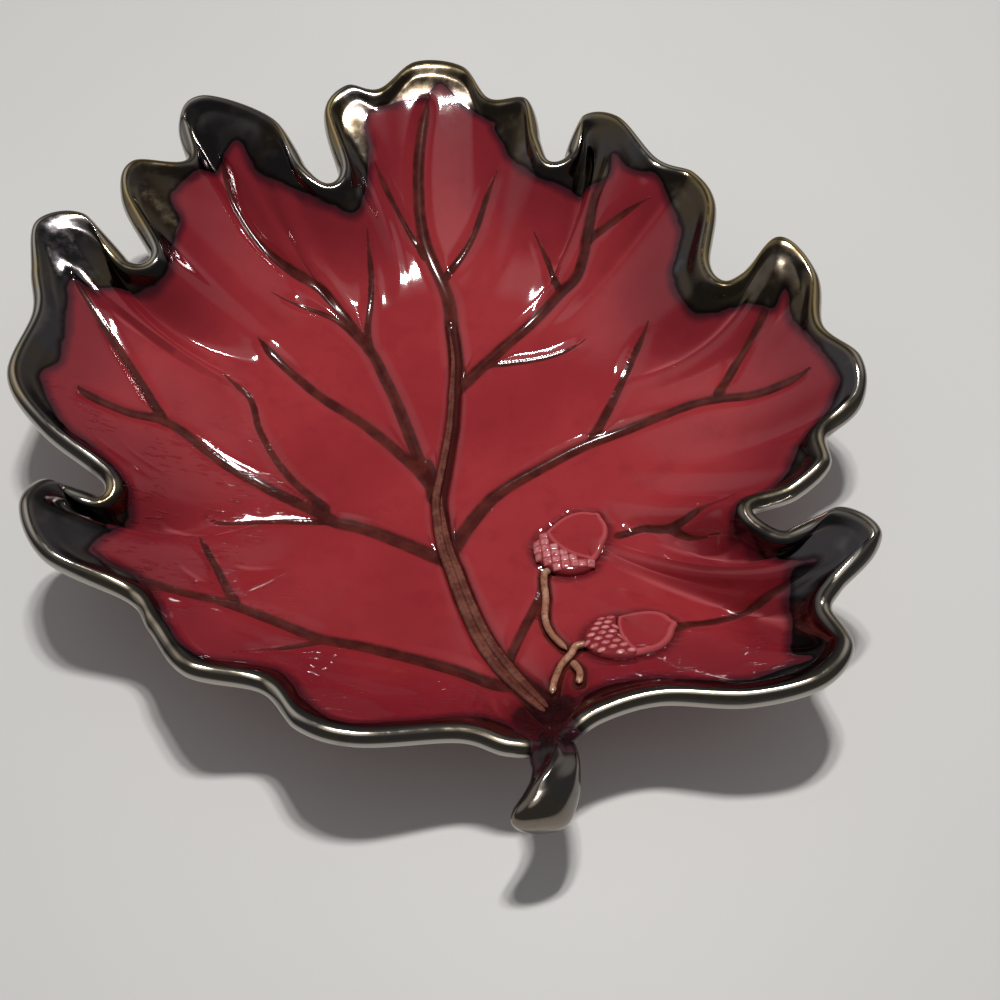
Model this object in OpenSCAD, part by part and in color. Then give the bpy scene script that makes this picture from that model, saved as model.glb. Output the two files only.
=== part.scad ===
// Leaf bowl: a slip-cast ceramic dish in the shape of an autumn leaf, with a ruffled rim,
// a cut stem for a handle and two acorns in relief.
// The origin is the centre of the foot ring, on the table. +Y runs from the stem to the tip, +Z up.

/* [Leaf] */
// Width of the blade, lobe tip to lobe tip
leaf_w = 300; // [260:1:340]
// Length of the blade from its base to its tip, without the stem
leaf_len = 300; // [260:1:340]
// Height of the tallest lobe tips above the table
rim_h = 53; // [46:0.5:62]

/* [Wall and rim] */
// Thickness of the cast wall
wall = 5; // [4:0.1:5.8]
// Diameter of the rolled lip
lip_d = 6; // [5:0.1:7.5]
// Mean width of the lustre band inside the lip
band_w = 12; // [8:0.5:13]

/* [Floor and foot] */
// Radius of the middle of the floor, where the wall starts to rise
floor_r = 60; // [54:0.5:66]
// Rise of the floor from its centre to that radius
dish = 3; // [2:0.1:4]
// Mean radius of the foot ring
foot_r = 54; // [48:0.5:56]
// Width of the ground face that the dish stands on
foot_w = 4; // [3:0.1:6]
// Gap between the table and the middle of the floor's underside
foot_gap = 1.5; // [1:0.1:3]

/* [Veins] */
// Width of the soft valley along a vein, where it leaves the midrib
vein_w = 15; // [11:0.5:18]
// Depth of that valley
vein_d = 1.5; // [0.8:0.1:1.8]

/* [Midrib] */
// Width of the raised midrib at the stem
midrib_w = 9; // [7:0.1:11]
// Height of its ridges there
midrib_h = 2.6; // [1.6:0.1:3.4]

/* [Upper acorn] */
// Length of the nut in front of its cup
upper_nut_len = 18; // [15:0.1:21]
// Width of the nut
upper_nut_w = 21.5; // [18:0.1:24]
// Height of the nut above the floor
upper_nut_h = 3.4; // [2.4:0.1:4.5]
// Length of the cup behind the nut
upper_cup_len = 11.5; // [9:0.1:13]
// Width of the cup
upper_cup_w = 24; // [21:0.1:27]
// Height of the cup above the floor
upper_cup_h = 4.4; // [3.4:0.1:5.5]

/* [Lower acorn] */
// Length of the nut in front of its cup
lower_nut_len = 16; // [13:0.1:19]
// Width of the nut
lower_nut_w = 19; // [16:0.1:21]
// Height of the nut above the wall
lower_nut_h = 3.2; // [2.2:0.1:4.2]
// Length of the cup behind the nut
lower_cup_len = 14; // [11:0.1:15]
// Width of the cup
lower_cup_w = 21; // [18:0.1:23]
// Height of the cup above the wall
lower_cup_h = 4.2; // [3.2:0.1:5.2]

/* [Twigs] */
// Width of an acorn's twig
twig_w = 4; // [3:0.1:5]
// Height of a twig above the wall
twig_h = 2.2; // [1.6:0.1:3]

/* [Stem] */
// Length of the stem from the lip to its cut end
stem_len = 21.5; // [18:0.5:27]
// Width of the stem at its cut end
stem_w = 20.5; // [18:0.1:23]
// Height of the stem at its cut end
stem_h = 13.5; // [11:0.1:16]
// Drop of the stem's end below the rim
stem_drop = 2.5; // [0:0.1:5]

/* [Fit] */
// Clearance under a piece that is seated on another
seat_gap = 0.3; // [0.1:0.05:0.4]

/* [Hidden] */

// The rim, clockwise from the tip, one row for each bend of its edge. The columns are:
// x as a share of leaf_w, y as a share of leaf_len, height as a share of rim_h,
// band width as a share of band_w, and the bearing in degrees, clockwise from the tip,
// at which the wall line of this row leaves the floor.
// On a hooked lobe two more columns place the point that bends the wall line, as x and y shares.
rim_shares = [
  [.030, .540, 1.00, 1.1, 4],
  [.095, .525, .98, .9, 9],
  [.125, .470, .90, .7, 14],
  [.175, .455, .93, 1.3, 19],
  [.180, .390, .85, .9, 24],
  [.190, .355, .79, .6, 29],
  [.220, .360, .81, .7, 33, .195, .260],
  [.250, .410, .92, 1.5, 36, .260, .290],
  [.290, .385, 1.01, 1.7, 40, .245, .275],
  [.325, .310, .95, .8, 45],
  [.370, .285, .91, .8, 50],
  [.385, .230, .89, .9, 56],
  [.360, .150, .79, .9, 63],
  [.370, .115, .77, .8, 68],
  [.400, .110, .82, 1.0, 73, .373, .030],
  [.450, .135, 1.00, 2.0, 78, .413, .010],
  [.480, .080, .94, .9, 83, .400, -.005],
  [.465, .005, .90, .6, 88, .375, -.040],
  [.490, -.055, .96, .7, 94, .375, -.085],
  [.480, -.105, .89, .7, 100, .360, -.115],
  [.430, -.137, .81, .6, 106, .330, -.125],
  [.420, -.180, .83, .8, 112],
  [.380, -.205, .77, .6, 118],
  [.323, -.220, .75, .6, 125],
  [.353, -.265, .78, .8, 131, .315, -.280],
  [.410, -.260, .94, 1.8, 136, .335, -.350],
  [.437, -.300, .99, 2.0, 140, .335, -.340],
  [.387, -.337, .88, 1.7, 144, .335, -.325],
  [.370, -.360, .81, 1.4, 148, .345, -.353],
  [.375, -.410, .90, 1.6, 152, .305, -.370],
  [.335, -.445, .91, 1.1, 156],
  [.265, -.450, .86, .9, 161],
  [.180, -.432, .81, .7, 166],
  [.115, -.440, .78, .8, 171],
  [.065, -.463, .75, 1.0, 176],
  [.022, -.460, .75, 1.0, 181],
  [-.025, -.442, .79, .7, 186],
  [-.125, -.440, .89, .6, 193],
  [-.180, -.415, .90, .6, 200],
  [-.215, -.365, .82, .6, 207],
  [-.285, -.345, .91, .6, 214],
  [-.322, -.290, .89, .6, 221],
  [-.350, -.243, .82, .6, 228],
  [-.428, -.202, .97, 1.1, 235, -.307, -.183],
  [-.457, -.140, 1.01, 2.3, 241, -.340, -.187],
  [-.442, -.098, .88, 1.7, 246, -.363, -.195],
  [-.393, -.112, .75, .7, 250, -.345, -.145],
  [-.383, -.080, .76, .6, 255],
  [-.448, -.020, .90, .6, 262],
  [-.488, .055, .96, .8, 269],
  [-.470, .155, .91, .9, 277],
  [-.475, .220, .94, 1.1, 285],
  [-.473, .290, 1.01, 2.4, 292, -.370, .140],
  [-.420, .303, .96, 2.1, 297, -.400, .150],
  [-.372, .243, .79, .7, 302, -.355, .180],
  [-.335, .255, .80, .6, 307],
  [-.370, .345, .92, 1.5, 312],
  [-.357, .397, .96, 1.3, 317],
  [-.290, .413, .85, .8, 322],
  [-.297, .490, .92, 1.3, 326],
  [-.258, .505, 1.02, 1.9, 330],
  [-.173, .450, .98, 1.9, 334, -.180, .335],
  [-.140, .380, .85, .9, 339, -.140, .310],
  [-.107, .355, .77, .6, 343],
  [-.085, .380, .80, .8, 347, -.035, .300],
  [-.098, .470, .92, 1.6, 351, -.010, .350],
  [-.067, .507, .98, 1.5, 355, -.015, .372],
  [-.025, .500, .95, .8, 359],
];

// Where a plain wall line bends, as a share of the way from the floor to the lip
bend_share = .55;
// Height shares of the lowest notch and of a lobe tip, and the slope of the wall at each
low_share = .75;
top_share = 1;
notch_slope = .95;
tip_slope = .25;

// The veins, each from its root to its end, as shares of leaf_w and leaf_len
vein_shares = [
  [[.035, .130], [.035, .230], [.013, .315], [.014, .385], [.026, .445], [.045, .500]],
  [[.010, .290], [-.027, .368], [-.043, .413]],
  [[.037, .259], [.080, .307], [.106, .353], [.127, .385]],
  [[.031, .076], [.068, .109], [.115, .147], [.180, .194], [.214, .216], [.234, .260],
   [.248, .296], [.265, .320], [.275, .345]],
  [[.068, .109], [.153, .108], [.216, .125]],
  [[.188, .199], [.178, .248], [.164, .292]],
  [[.236, .251], [.271, .261], [.314, .275]],
  [[.006, -.157], [.019, -.137], [.061, -.094], [.126, -.061], [.186, -.038], [.255, -.025],
   [.317, -.020], [.353, -.029], [.386, -.045], [.421, -.049], [.449, -.046]],
  [[.187, -.033], [.227, .021], [.263, .077], [.291, .114]],
  [[.352, -.017], [.383, .018], [.418, .060], [.430, .085]],
  [[.194, -.186], [.224, -.179], [.254, -.190], [.294, -.190], [.333, -.179]],
  [[.254, -.190], [.274, -.210], [.305, -.225]],
  [[.225, -.338], [.279, -.328], [.321, -.315], [.357, -.311], [.390, -.305]],
  [[.048, -.322], [.080, -.265], [.086, -.246]],
  [[-.018, -.090], [-.021, -.038], [-.031, -.026], [-.048, .056], [-.071, .136], [-.078, .153],
   [-.100, .198], [-.135, .253], [-.176, .289], [-.216, .330], [-.238, .368], [-.245, .407],
   [-.248, .440]],
  [[-.078, .153], [-.125, .211], [-.204, .246]],
  [[-.078, .153], [-.078, .190], [-.066, .258], [-.066, .320]],
  [[-.013, -.084], [-.036, -.040], [-.091, .031], [-.149, .086], [-.196, .142], [-.224, .177]],
  [[-.017, -.182], [-.048, -.160], [-.103, -.126], [-.140, -.111], [-.159, -.096], [-.216, -.057],
   [-.273, -.019], [-.330, .028], [-.377, .032], [-.415, .044], [-.430, .055]],
  [[-.337, .025], [-.370, .096], [-.401, .152], [-.426, .203], [-.440, .235]],
  [[-.151, -.091], [-.196, -.034], [-.226, .031], [-.238, .086], [-.270, .115]],
  [[-.140, -.111], [-.198, -.107], [-.274, -.105], [-.296, -.093]],
  [[.016, -.363], [-.032, -.342], [-.097, -.317], [-.166, -.292], [-.201, -.275], [-.252, -.253],
   [-.315, -.231], [-.362, -.216], [-.395, -.190]],
  [[-.179, -.304], [-.253, -.328]],
  [[-.252, -.243], [-.277, -.185], [-.299, -.138]],
];
// Width and depth of a vein at its end, as a share of those at its root
vein_end_share = .55;

// The raised midrib, from the stem up, and its width and height at the top as a share
midrib_shares = [[.060, -.405], [.036, -.345], [.017, -.301], [.004, -.250], [-.004, -.205],
                 [-.011, -.166], [-.013, -.124], [-.011, -.091], [0, -.050], [.016, .012],
                 [.026, .068], [.033, .118]];
midrib_end_share = .35;
// Its section across the floor, as shares of half its width and of its height
midrib_section_shares = [[-1, 0], [-.85, .7], [-.5, 1], [0, .62], [.5, 1], [.85, .7], [1, 0],
                         [0, 0]];

// The middle of the line where nut meets cup, as shares, and the nut's direction from +X
upper_acorn_shares = [.132, -.194];
upper_acorn_turn = 44;
lower_acorn_shares = [.171, -.338];
lower_acorn_turn = 2;
// How far the nut's base bulges back into its cup, as a share of the nut's width
nut_bulge_share = .12;

// The twigs, from just below the cup down to where they meet, and the spur below, as shares
upper_twig_shares = [[.094, -.262], [.089, -.288], [.092, -.313], [.098, -.335]];
lower_twig_shares = [[.104, -.353], [.093, -.370], [.087, -.388]];
spur_shares = [[.111, -.368], [.113, -.380], [.107, -.393]];
twig_end_share = .8;
// Straight run of a twig behind its cup, as a share of the twig's width
twig_run_share = .7;
// A twig's section, as shares of half its width and of its height
twig_section_shares = [[-1, 0], [-.8, .6], [-.4, .92], [0, 1], [.4, .92], [.8, .6], [1, 0], [0, 0]];

// Where the stem grows from the lip, as a share of the way round the rim from the tip,
// and half of its root's width, as a share of one row
stem_place_share = .5;
stem_root_share = .44;
// Rings of the stem from the lip to its cut end. The columns are: way along its length,
// width, height, turn of the section in degrees, sideways sway and rise, as shares
stem_shares = [
  [.08, .72, .66, 0, 0, .04],
  [.22, .71, .78, 6, 0, .10],
  [.40, .76, .86, 12, -.05, .12],
  [.58, .87, .93, 18, -.14, .09],
  [.76, .97, .98, 23, -.25, .04],
  [.89, .97, .98, 26, -.31, 0],
  [.97, .82, .88, 28, -.33, -.03],
  [1, .58, .62, 28, -.33, -.04],
];
// Groove along the stem's side, as a share of its radius, and its bearing on the section
stem_groove_share = .14;
stem_groove_turn = 60;
// How closely the stem's root hugs the round of the lip, from 0, flat, to 1
root_hug_share = .8;

// Counts of steps: sub-rows between two rows of the rim, steps up the wall inside and outside,
// steps across the lustre band, and steps round the lip
row_steps = 3;
inner_steps = 9;
outer_steps = 6;
band_steps = 4;
lip_steps = 6;
ring_sides = 24;
midrib_steps = 2;
twig_steps = 3;
round_fn = 96;

// The rings of an acorn's dome by their rise from its edge, in degrees, the middle of the dome
// along its length, and how blunt its end is
dome_turns = [0, 22, 46, 70];
dome_core_share = .4;
dome_blunt_share = .8;

// Half of one step of the rim, used to take the direction along it
row_nudge = .01;

// Height of the middle of the wall at the centre of the floor
floor_z = foot_gap + wall / 2;

function clamp01(x) = min(max(x, 0), 1);
function ease(x) = let (c = clamp01(x)) c * c * (3 - 2 * c);
function unit(v) = v / norm(v);
function flat(p) = [p.x, p.y];
function on_blade(share) = [share.x * leaf_w, share.y * leaf_len];
function catmull(a, b, c, d, f) =
  (2 * b + (c - a) * f + (2 * a - 5 * b + 4 * c - d) * f ^ 2 + (3 * b - a - 3 * c + d) * f ^ 3) / 2;

// The wall line of one row: where it leaves the floor, where it bends and where it meets the lip
function root_of(row) = floor_r * [sin(row[4]), cos(row[4])];
function lip_of(row) = on_blade([row[0], row[1]]);
function bend_of(row) = on_blade([row[5], row[6]]);
function reach_of(row) = norm(lip_of(row) - root_of(row));
function full_row(row) =
  len(row) == 7 ? row
  : let (root = root_of(row), bend = root + bend_share * (lip_of(row) - root))
    concat(row, [bend.x / leaf_w, bend.y / leaf_len]);
full_rows = [for (row = rim_shares) full_row(row)];
rows = len(full_rows);
function knot(i) = full_rows[(i % rows + rows) % rows] + [0, 0, 0, 0, 360 * floor(i / rows), 0, 0];
function row_at(u) =
  let (i = floor(u)) catmull(knot(i - 1), knot(i), knot(i + 1), knot(i + 2), u - i);

// The middle of the wall at the share t of the way from the floor to the lip of a row
function rise_of(row) = row[2] * rim_h - lip_d / 2 - floor_z - dish;
function start_climb(row) =
  let (root = root_of(row)) 4 * dish / floor_r ^ 2 * ((bend_of(row) - root) * root);
function end_climb(row) =
  let (tip = clamp01((row[2] - low_share) / (top_share - low_share)))
  reach_of(row) * (notch_slope + (tip_slope - notch_slope) * tip);
function middle(row, t) =
  let (p = root_of(row) * (1 - t) ^ 2 + bend_of(row) * 2 * t * (1 - t) + lip_of(row) * t ^ 2,
       z = rise_of(row) * (3 * t ^ 2 - 2 * t ^ 3) + start_climb(row) * (t ^ 3 - 2 * t ^ 2 + t)
           + end_climb(row) * (t ^ 3 - t ^ 2))
  [p.x, p.y, floor_z + dish + z];
function outward(row, t) =
  let (p = (bend_of(row) - root_of(row)) * 2 * (1 - t) + (lip_of(row) - bend_of(row)) * 2 * t,
       z = rise_of(row) * 6 * (t - t ^ 2) + start_climb(row) * (3 * t ^ 2 - 4 * t + 1)
           + end_climb(row) * (3 * t ^ 2 - 2 * t))
  unit([p.x, p.y, z]);

// A line of the wall holds its row and the rows just before and after it.
// A spot on it holds the middle of the wall, the direction up off the glaze and the one outward.
function line_at(u) = [row_at(u), row_at(u - row_nudge), row_at(u + row_nudge)];
function spot(line, t) =
  let (out = outward(line[0], t), along = middle(line[2], t) - middle(line[1], t))
  [middle(line[0], t), unit(cross(along, out)), out];
function floor_spot(p) =
  let (k = dish / floor_r ^ 2)
  [[p.x, p.y, floor_z + k * (p * p)], unit([-2 * k * p.x, -2 * k * p.y, 1])];

// The soft valleys along the veins
veins = [for (vein = vein_shares) [for (share = vein) on_blade(share)]];
function off_segment(p, a, b) =
  let (run = b - a, f = clamp01((p - a) * run / (run * run))) norm(p - a - f * run);
function valley_of(p, vein) =
  let (parts = len(vein) - 1)
  max([for (i = [0 : parts - 1])
    let (size = 1 - (1 - vein_end_share) * i / parts,
         off = off_segment(p, vein[i], vein[i + 1]) / (vein_w / 2 * size))
    off < 1 ? size * (1 + cos(180 * off)) / 2 : 0]);
function valley(p) = vein_d * max([for (vein = veins) valley_of(p, vein)]);

// The two faces of the wall, which thickens into the lip at its edge
function half_wall(row, t) =
  (wall + (lip_d - wall) * ease(1 - (1 - t) * reach_of(row) / lip_d)) / 2;
function inside(line, t) =
  let (s = spot(line, t), fade = clamp01((1 - t) * reach_of(line[0]) / lip_d))
  s[0] + s[1] * (half_wall(line[0], t) - valley(flat(s[0])) * fade);
function outside(line, t) =
  let (s = spot(line, t)) s[0] - s[1] * half_wall(line[0], t);
function round_lip(line, turn) =
  let (s = spot(line, 1)) s[0] + lip_d / 2 * (s[1] * cos(turn) + s[2] * sin(turn));
// Where the crimson glaze gives way to the lustre band
function seam_of(line) = 1 - line[0][3] * band_w / reach_of(line[0]);

fine_lines = [for (i = [0 : rows * row_steps - 1]) line_at(i / row_steps)];
coarse_lines = [for (i = [0 : rows - 1]) line_at(i)];
half_lines = [for (i = [0 : 2 : rows * row_steps - 1]) line_at(i / row_steps)];

// A point of a seated piece: its height above the glaze at the place p of the middle of the wall
function first_guess(p) =
  let (bearing = atan2(p.x, p.y),
       turn = bearing < 0 ? bearing + 360 : bearing,
       u = lookup(turn, [for (i = [-1 : rows]) [knot(i)[4], i]]),
       row = row_at(u))
  [u, clamp01((norm(p) - floor_r) / (norm(lip_of(row)) - floor_r))];
function closer(p, at) =
  let (line = line_at(at[0]),
       miss = p - flat(middle(line[0], at[1])),
       along = flat(middle(line[2], at[1]) - middle(line[1], at[1])) / (2 * row_nudge),
       out = flat(middle(line[0], at[1] + row_nudge) - middle(line[0], at[1] - row_nudge))
             / (2 * row_nudge),
       area = cross(along, out))
  [at[0] + cross(miss, out) / area, at[1] + cross(along, miss) / area];
function locate(p, at, tries) = tries == 0 ? at : locate(p, closer(p, at), tries - 1);
function raised(p, h) =
  norm(p) <= floor_r
  ? let (s = floor_spot(p)) s[0] + s[1] * (wall / 2 + seat_gap + h)
  : let (at = locate(p, first_guess(p), 6), s = spot(line_at(at[0]), at[1]))
    s[0] + s[1] * (wall / 2 + seat_gap + h);

// The faces between two rings, of which one may have a multiple of the other's points.
// Rings run clockwise as seen from outside the skin that they form, the first ring nearer.
function strip(a, na, b, nb) =
  let (fine = na >= nb,
       n = max(na, nb),
       m = min(na, nb),
       k = n / m,
       f = fine ? a : b,
       g = fine ? b : a,
       half = ceil(k / 2),
       thin = [for (i = [0 : n - 1])
         let (j = floor(i / k), side = (i - j * k < half ? j : j + 1) % m)
         [f + i, g + side, f + (i + 1) % n]],
       wide = m == 1 ? [] : [for (j = [0 : m - 1])
         [g + j, g + (j + 1) % m, f + (j * k + half) % n]],
       both = concat(thin, wide))
  fine ? both : [for (face = both) [face[2], face[1], face[0]]];
function starts(rings) =
  [for (i = 0, at = 0; i < len(rings); at = at + len(rings[i]), i = i + 1) at];
module skin(rings, loop = false) {
  at = starts(rings);
  n = len(rings);
  faces = [for (i = [0 : n - (loop ? 1 : 2)], face = strip(at[i], len(rings[i]),
    at[(i + 1) % n], len(rings[(i + 1) % n]))) face];
  polyhedron([for (ring = rings, p = ring) p], faces);
}

// The floor rings, as shares of floor_r, inside and outside
floor_in_shares = [.17, .34, .5, .66, .83];
floor_out_shares = [.65, .3];
function floor_ring(lines, share, side) =
  [for (line = lines)
    let (p = root_of(line[0]) * share, s = floor_spot(p), dip = side > 0 ? valley(p) : 0)
    s[0] + s[1] * side * (wall / 2 - dip)];
function every(list, step) = [for (i = [0 : step : len(list) - 1]) list[i]];

module leaf_shell() {
  hub = [0, 0, floor_z];
  up = [0, 0, wall / 2];
  color([.60, .14, .18])
    skin(concat(
      [[hub + up - [0, 0, valley([0, 0])]]],
      [floor_ring(every(half_lines, 3), floor_in_shares[0], 1)],
      [for (i = [1 : len(floor_in_shares) - 1]) floor_ring(half_lines, floor_in_shares[i], 1)],
      [for (i = [0 : inner_steps])
        [for (line = fine_lines) inside(line, seam_of(line) * i / inner_steps)]],
      [[for (line = fine_lines) outside(line, seam_of(line))]],
      [for (i = [outer_steps - 1 : -1 : 0])
        [for (line = coarse_lines) outside(line, seam_of(line) * i / outer_steps)]],
      [for (share = floor_out_shares) floor_ring(coarse_lines, share, -1)],
      [[hub - up]]));
}

module lustre_rim() {
  color([.30, .27, .22])
    skin(concat(
      [for (i = [0 : band_steps - 1])
        [for (line = fine_lines)
          inside(line, seam_of(line) + (1 - seam_of(line)) * i / band_steps)]],
      [for (i = [0 : lip_steps])
        [for (line = fine_lines) round_lip(line, 180 * i / lip_steps)]],
      [for (i = [1, 0])
        [for (line = fine_lines)
          outside(line, seam_of(line) + (1 - seam_of(line)) * i / 2)]]), loop = true);
}

// The stem's root hugs the lip. Its other rings follow its length, turn and carry a groove.
function stem_root_ring() =
  [for (i = [0 : ring_sides - 1])
    let (turn = 360 * i / ring_sides,
         s = spot(line_at(rows * stem_place_share - stem_root_share * cos(turn)), 1),
         dz = sin(turn) * lip_d / 2,
         out = unit([s[2].x, s[2].y, 0]))
    s[0] + out * (lip_d / 2 * sqrt(1 - sin(turn) ^ 2 * root_hug_share) + seat_gap) + [0, 0, dz]];
function stem_ring(share) =
  let (s = spot(line_at(rows * stem_place_share), 1),
       out = [0, -1, 0],
       mid = s[0] + out * (lip_d / 2 + seat_gap + stem_len * share[0])
             + [share[4] * stem_w, 0, share[5] * stem_h - stem_drop * share[0]])
  [for (i = [0 : ring_sides - 1])
    let (turn = 360 * i / ring_sides,
         r = 1 - stem_groove_share * ease(cos(turn - stem_groove_turn) * 3 - 2),
         x = cos(turn) * r * share[1] * stem_w / 2,
         z = sin(turn) * r * share[2] * stem_h / 2)
    mid + [x * cos(share[3]) + z * sin(share[3]), 0, z * cos(share[3]) - x * sin(share[3])]];
function middle_of(ring) = [for (i = [1 : len(ring)]) 1] * ring / len(ring);

module stem_handle() {
  root = stem_root_ring();
  rings = [for (share = stem_shares) stem_ring(share)];
  color([.30, .27, .22])
    skin(concat([[middle_of(root)]], [root], rings, [[middle_of(rings[len(rings) - 1])]]));
}

// A ridge that follows a smooth path over the glaze, tapering from its start to its end
function path_at(path, u) =
  let (last = len(path) - 1, i = min(floor(u), last - 1))
  catmull(path[max(i - 1, 0)], path[i], path[i + 1], path[min(i + 2, last)], u - i);
module ridge(path, steps, section, w, h, end_share) {
  last = len(path) - 1;
  rings = [for (i = [0 : last * steps])
    let (u = i / steps,
         p = path_at(path, u),
         ahead = path_at(path, min(u + row_nudge, last)) - path_at(path, max(u - row_nudge, 0)),
         side = unit([ahead.y, -ahead.x]),
         size = 1 - (1 - end_share) * u / last)
    [for (share = section) raised(p + side * share.x * w / 2 * size, share.y * h * size)]];
  skin(concat([[middle_of(rings[0])]], rings, [[middle_of(rings[len(rings) - 1])]]));
}

module midrib_twig() {
  color([.42, .22, .16])
    ridge([for (share = midrib_shares) on_blade(share)], midrib_steps, midrib_section_shares,
          midrib_w, midrib_h, midrib_end_share);
}

// A domed half of an acorn that lies on the glaze. It starts at the curved line where nut meets
// cup and runs len along the acorn's direction, or back from that line where side is -1.
function heading(turn) = [cos(turn), sin(turn)];
module dome(place, turn, side, len, w, h, nut_w) {
  base = on_blade(place);
  ahead = heading(turn) * side;
  across = [ahead.y, -ahead.x];
  outline = [for (i = [0 : ring_sides - 1])
    let (a = 360 * (i + .5) / ring_sides,
         b = -cos(a) * w / 2,
         bulge = nut_w * nut_bulge_share * max(0, 1 - (2 * b / nut_w) ^ 2))
    [a < 180 ? sin(a) ^ dome_blunt_share * len : -side * bulge, b]];
  core = [len * dome_core_share, 0];
  rings = [for (lift = dome_turns)
    [for (q = outline)
      let (at = core + (q - core) * cos(lift),
           p = base + ahead * (at[0] + seat_gap / 2) + across * at[1])
      raised(p, h * sin(lift))]];
  top = raised(base + ahead * core[0], h);
  bottom = raised(base + ahead * core[0], 0);
  skin(concat([[top]], [for (i = [len(rings) - 1 : -1 : 0]) rings[i]], [[bottom]]));
}

module upper_acorn_nut() {
  color([.62, .17, .20])
    dome(upper_acorn_shares, upper_acorn_turn, 1, upper_nut_len, upper_nut_w, upper_nut_h,
         upper_nut_w);
}

module upper_acorn_cup() {
  color([.66, .30, .26])
    dome(upper_acorn_shares, upper_acorn_turn, -1, upper_cup_len, upper_cup_w, upper_cup_h,
         upper_nut_w);
}

module lower_acorn_nut() {
  color([.62, .17, .20])
    dome(lower_acorn_shares, lower_acorn_turn, 1, lower_nut_len, lower_nut_w, lower_nut_h,
         lower_nut_w);
}

module lower_acorn_cup() {
  color([.66, .30, .26])
    dome(lower_acorn_shares, lower_acorn_turn, -1, lower_cup_len, lower_cup_w, lower_cup_h,
         lower_nut_w);
}

// A twig leaves the back of its cup along the acorn's own direction
module twig(path) {
  color([.69, .47, .38])
    ridge(path, twig_steps, twig_section_shares, twig_w, twig_h, twig_end_share);
}
function behind_cup(place, turn, cup_len, run) =
  on_blade(place) - heading(turn) * (cup_len + seat_gap + run);
function twig_path(place, turn, cup_len, shares) =
  concat([for (run = [0, twig_w * twig_run_share]) behind_cup(place, turn, cup_len, run)],
         [for (share = shares) on_blade(share)]);

module upper_acorn_twig() {
  twig(twig_path(upper_acorn_shares, upper_acorn_turn, upper_cup_len, upper_twig_shares));
}

module lower_acorn_twig() {
  twig(twig_path(lower_acorn_shares, lower_acorn_turn, lower_cup_len, lower_twig_shares));
  twig([for (share = spur_shares) on_blade(share)]);
}

// The unglazed ring under the floor. Its top follows the dished underside.
foot_slope_share = .5;
foot_top_steps = 4;
function under(r) = foot_gap + dish * (r / floor_r) ^ 2 - seat_gap;
module foot_ring() {
  tall = under(foot_r);
  low = foot_r - foot_w / 2;
  high = foot_r + foot_w / 2;
  lean = tall * foot_slope_share;
  color([.86, .82, .76])
    rotate_extrude($fn = round_fn)
      polygon(concat(
        [[low, 0], [high, 0]],
        [for (i = [foot_top_steps : -1 : 0])
          let (r = low - lean + (foot_w + 2 * lean) * i / foot_top_steps) [r, under(r)]]));
}

leaf_shell();
lustre_rim();
stem_handle();
midrib_twig();
upper_acorn_nut();
upper_acorn_cup();
lower_acorn_nut();
lower_acorn_cup();
upper_acorn_twig();
lower_acorn_twig();
foot_ring();
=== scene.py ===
"""The looks of the leaf bowl: crimson glaze over stained veins, a dark lustre rim, acorns in relief."""

import math

import bpy
import numpy as np
from mathutils import Matrix, Vector


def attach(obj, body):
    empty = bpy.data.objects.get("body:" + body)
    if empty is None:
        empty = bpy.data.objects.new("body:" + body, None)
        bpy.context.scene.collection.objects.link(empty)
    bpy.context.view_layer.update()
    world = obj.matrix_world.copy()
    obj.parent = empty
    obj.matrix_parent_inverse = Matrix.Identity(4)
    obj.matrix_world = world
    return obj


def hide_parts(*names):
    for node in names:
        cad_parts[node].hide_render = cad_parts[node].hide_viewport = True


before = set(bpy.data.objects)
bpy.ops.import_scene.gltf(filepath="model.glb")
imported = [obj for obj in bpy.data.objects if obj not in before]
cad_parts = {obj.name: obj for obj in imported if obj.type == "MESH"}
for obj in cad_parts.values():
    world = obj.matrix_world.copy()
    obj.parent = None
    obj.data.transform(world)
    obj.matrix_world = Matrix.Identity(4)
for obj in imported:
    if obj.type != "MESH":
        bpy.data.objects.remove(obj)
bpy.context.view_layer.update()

MM = 0.001

# Sizes of the casting, in millimetres, the same as the solids have
LEAF_W = 300.0
LEAF_LEN = 300.0
RIM_H = 53.0
WALL = 5.0
LIP_D = 6.0
BAND_W = 12.0
FLOOR_R = 60.0
DISH = 3.0
FLOOR_Z = 4.0

# How steep the wall comes to the lip, where the rim is low and where it is high as shares of RIM_H
END_SLOPES = (0.95, 0.25)
LOBE_HEIGHTS = (0.75, 1.0)

# The lip as it is seen, with its thick glaze
LIP_ROUND = 6.7

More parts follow.
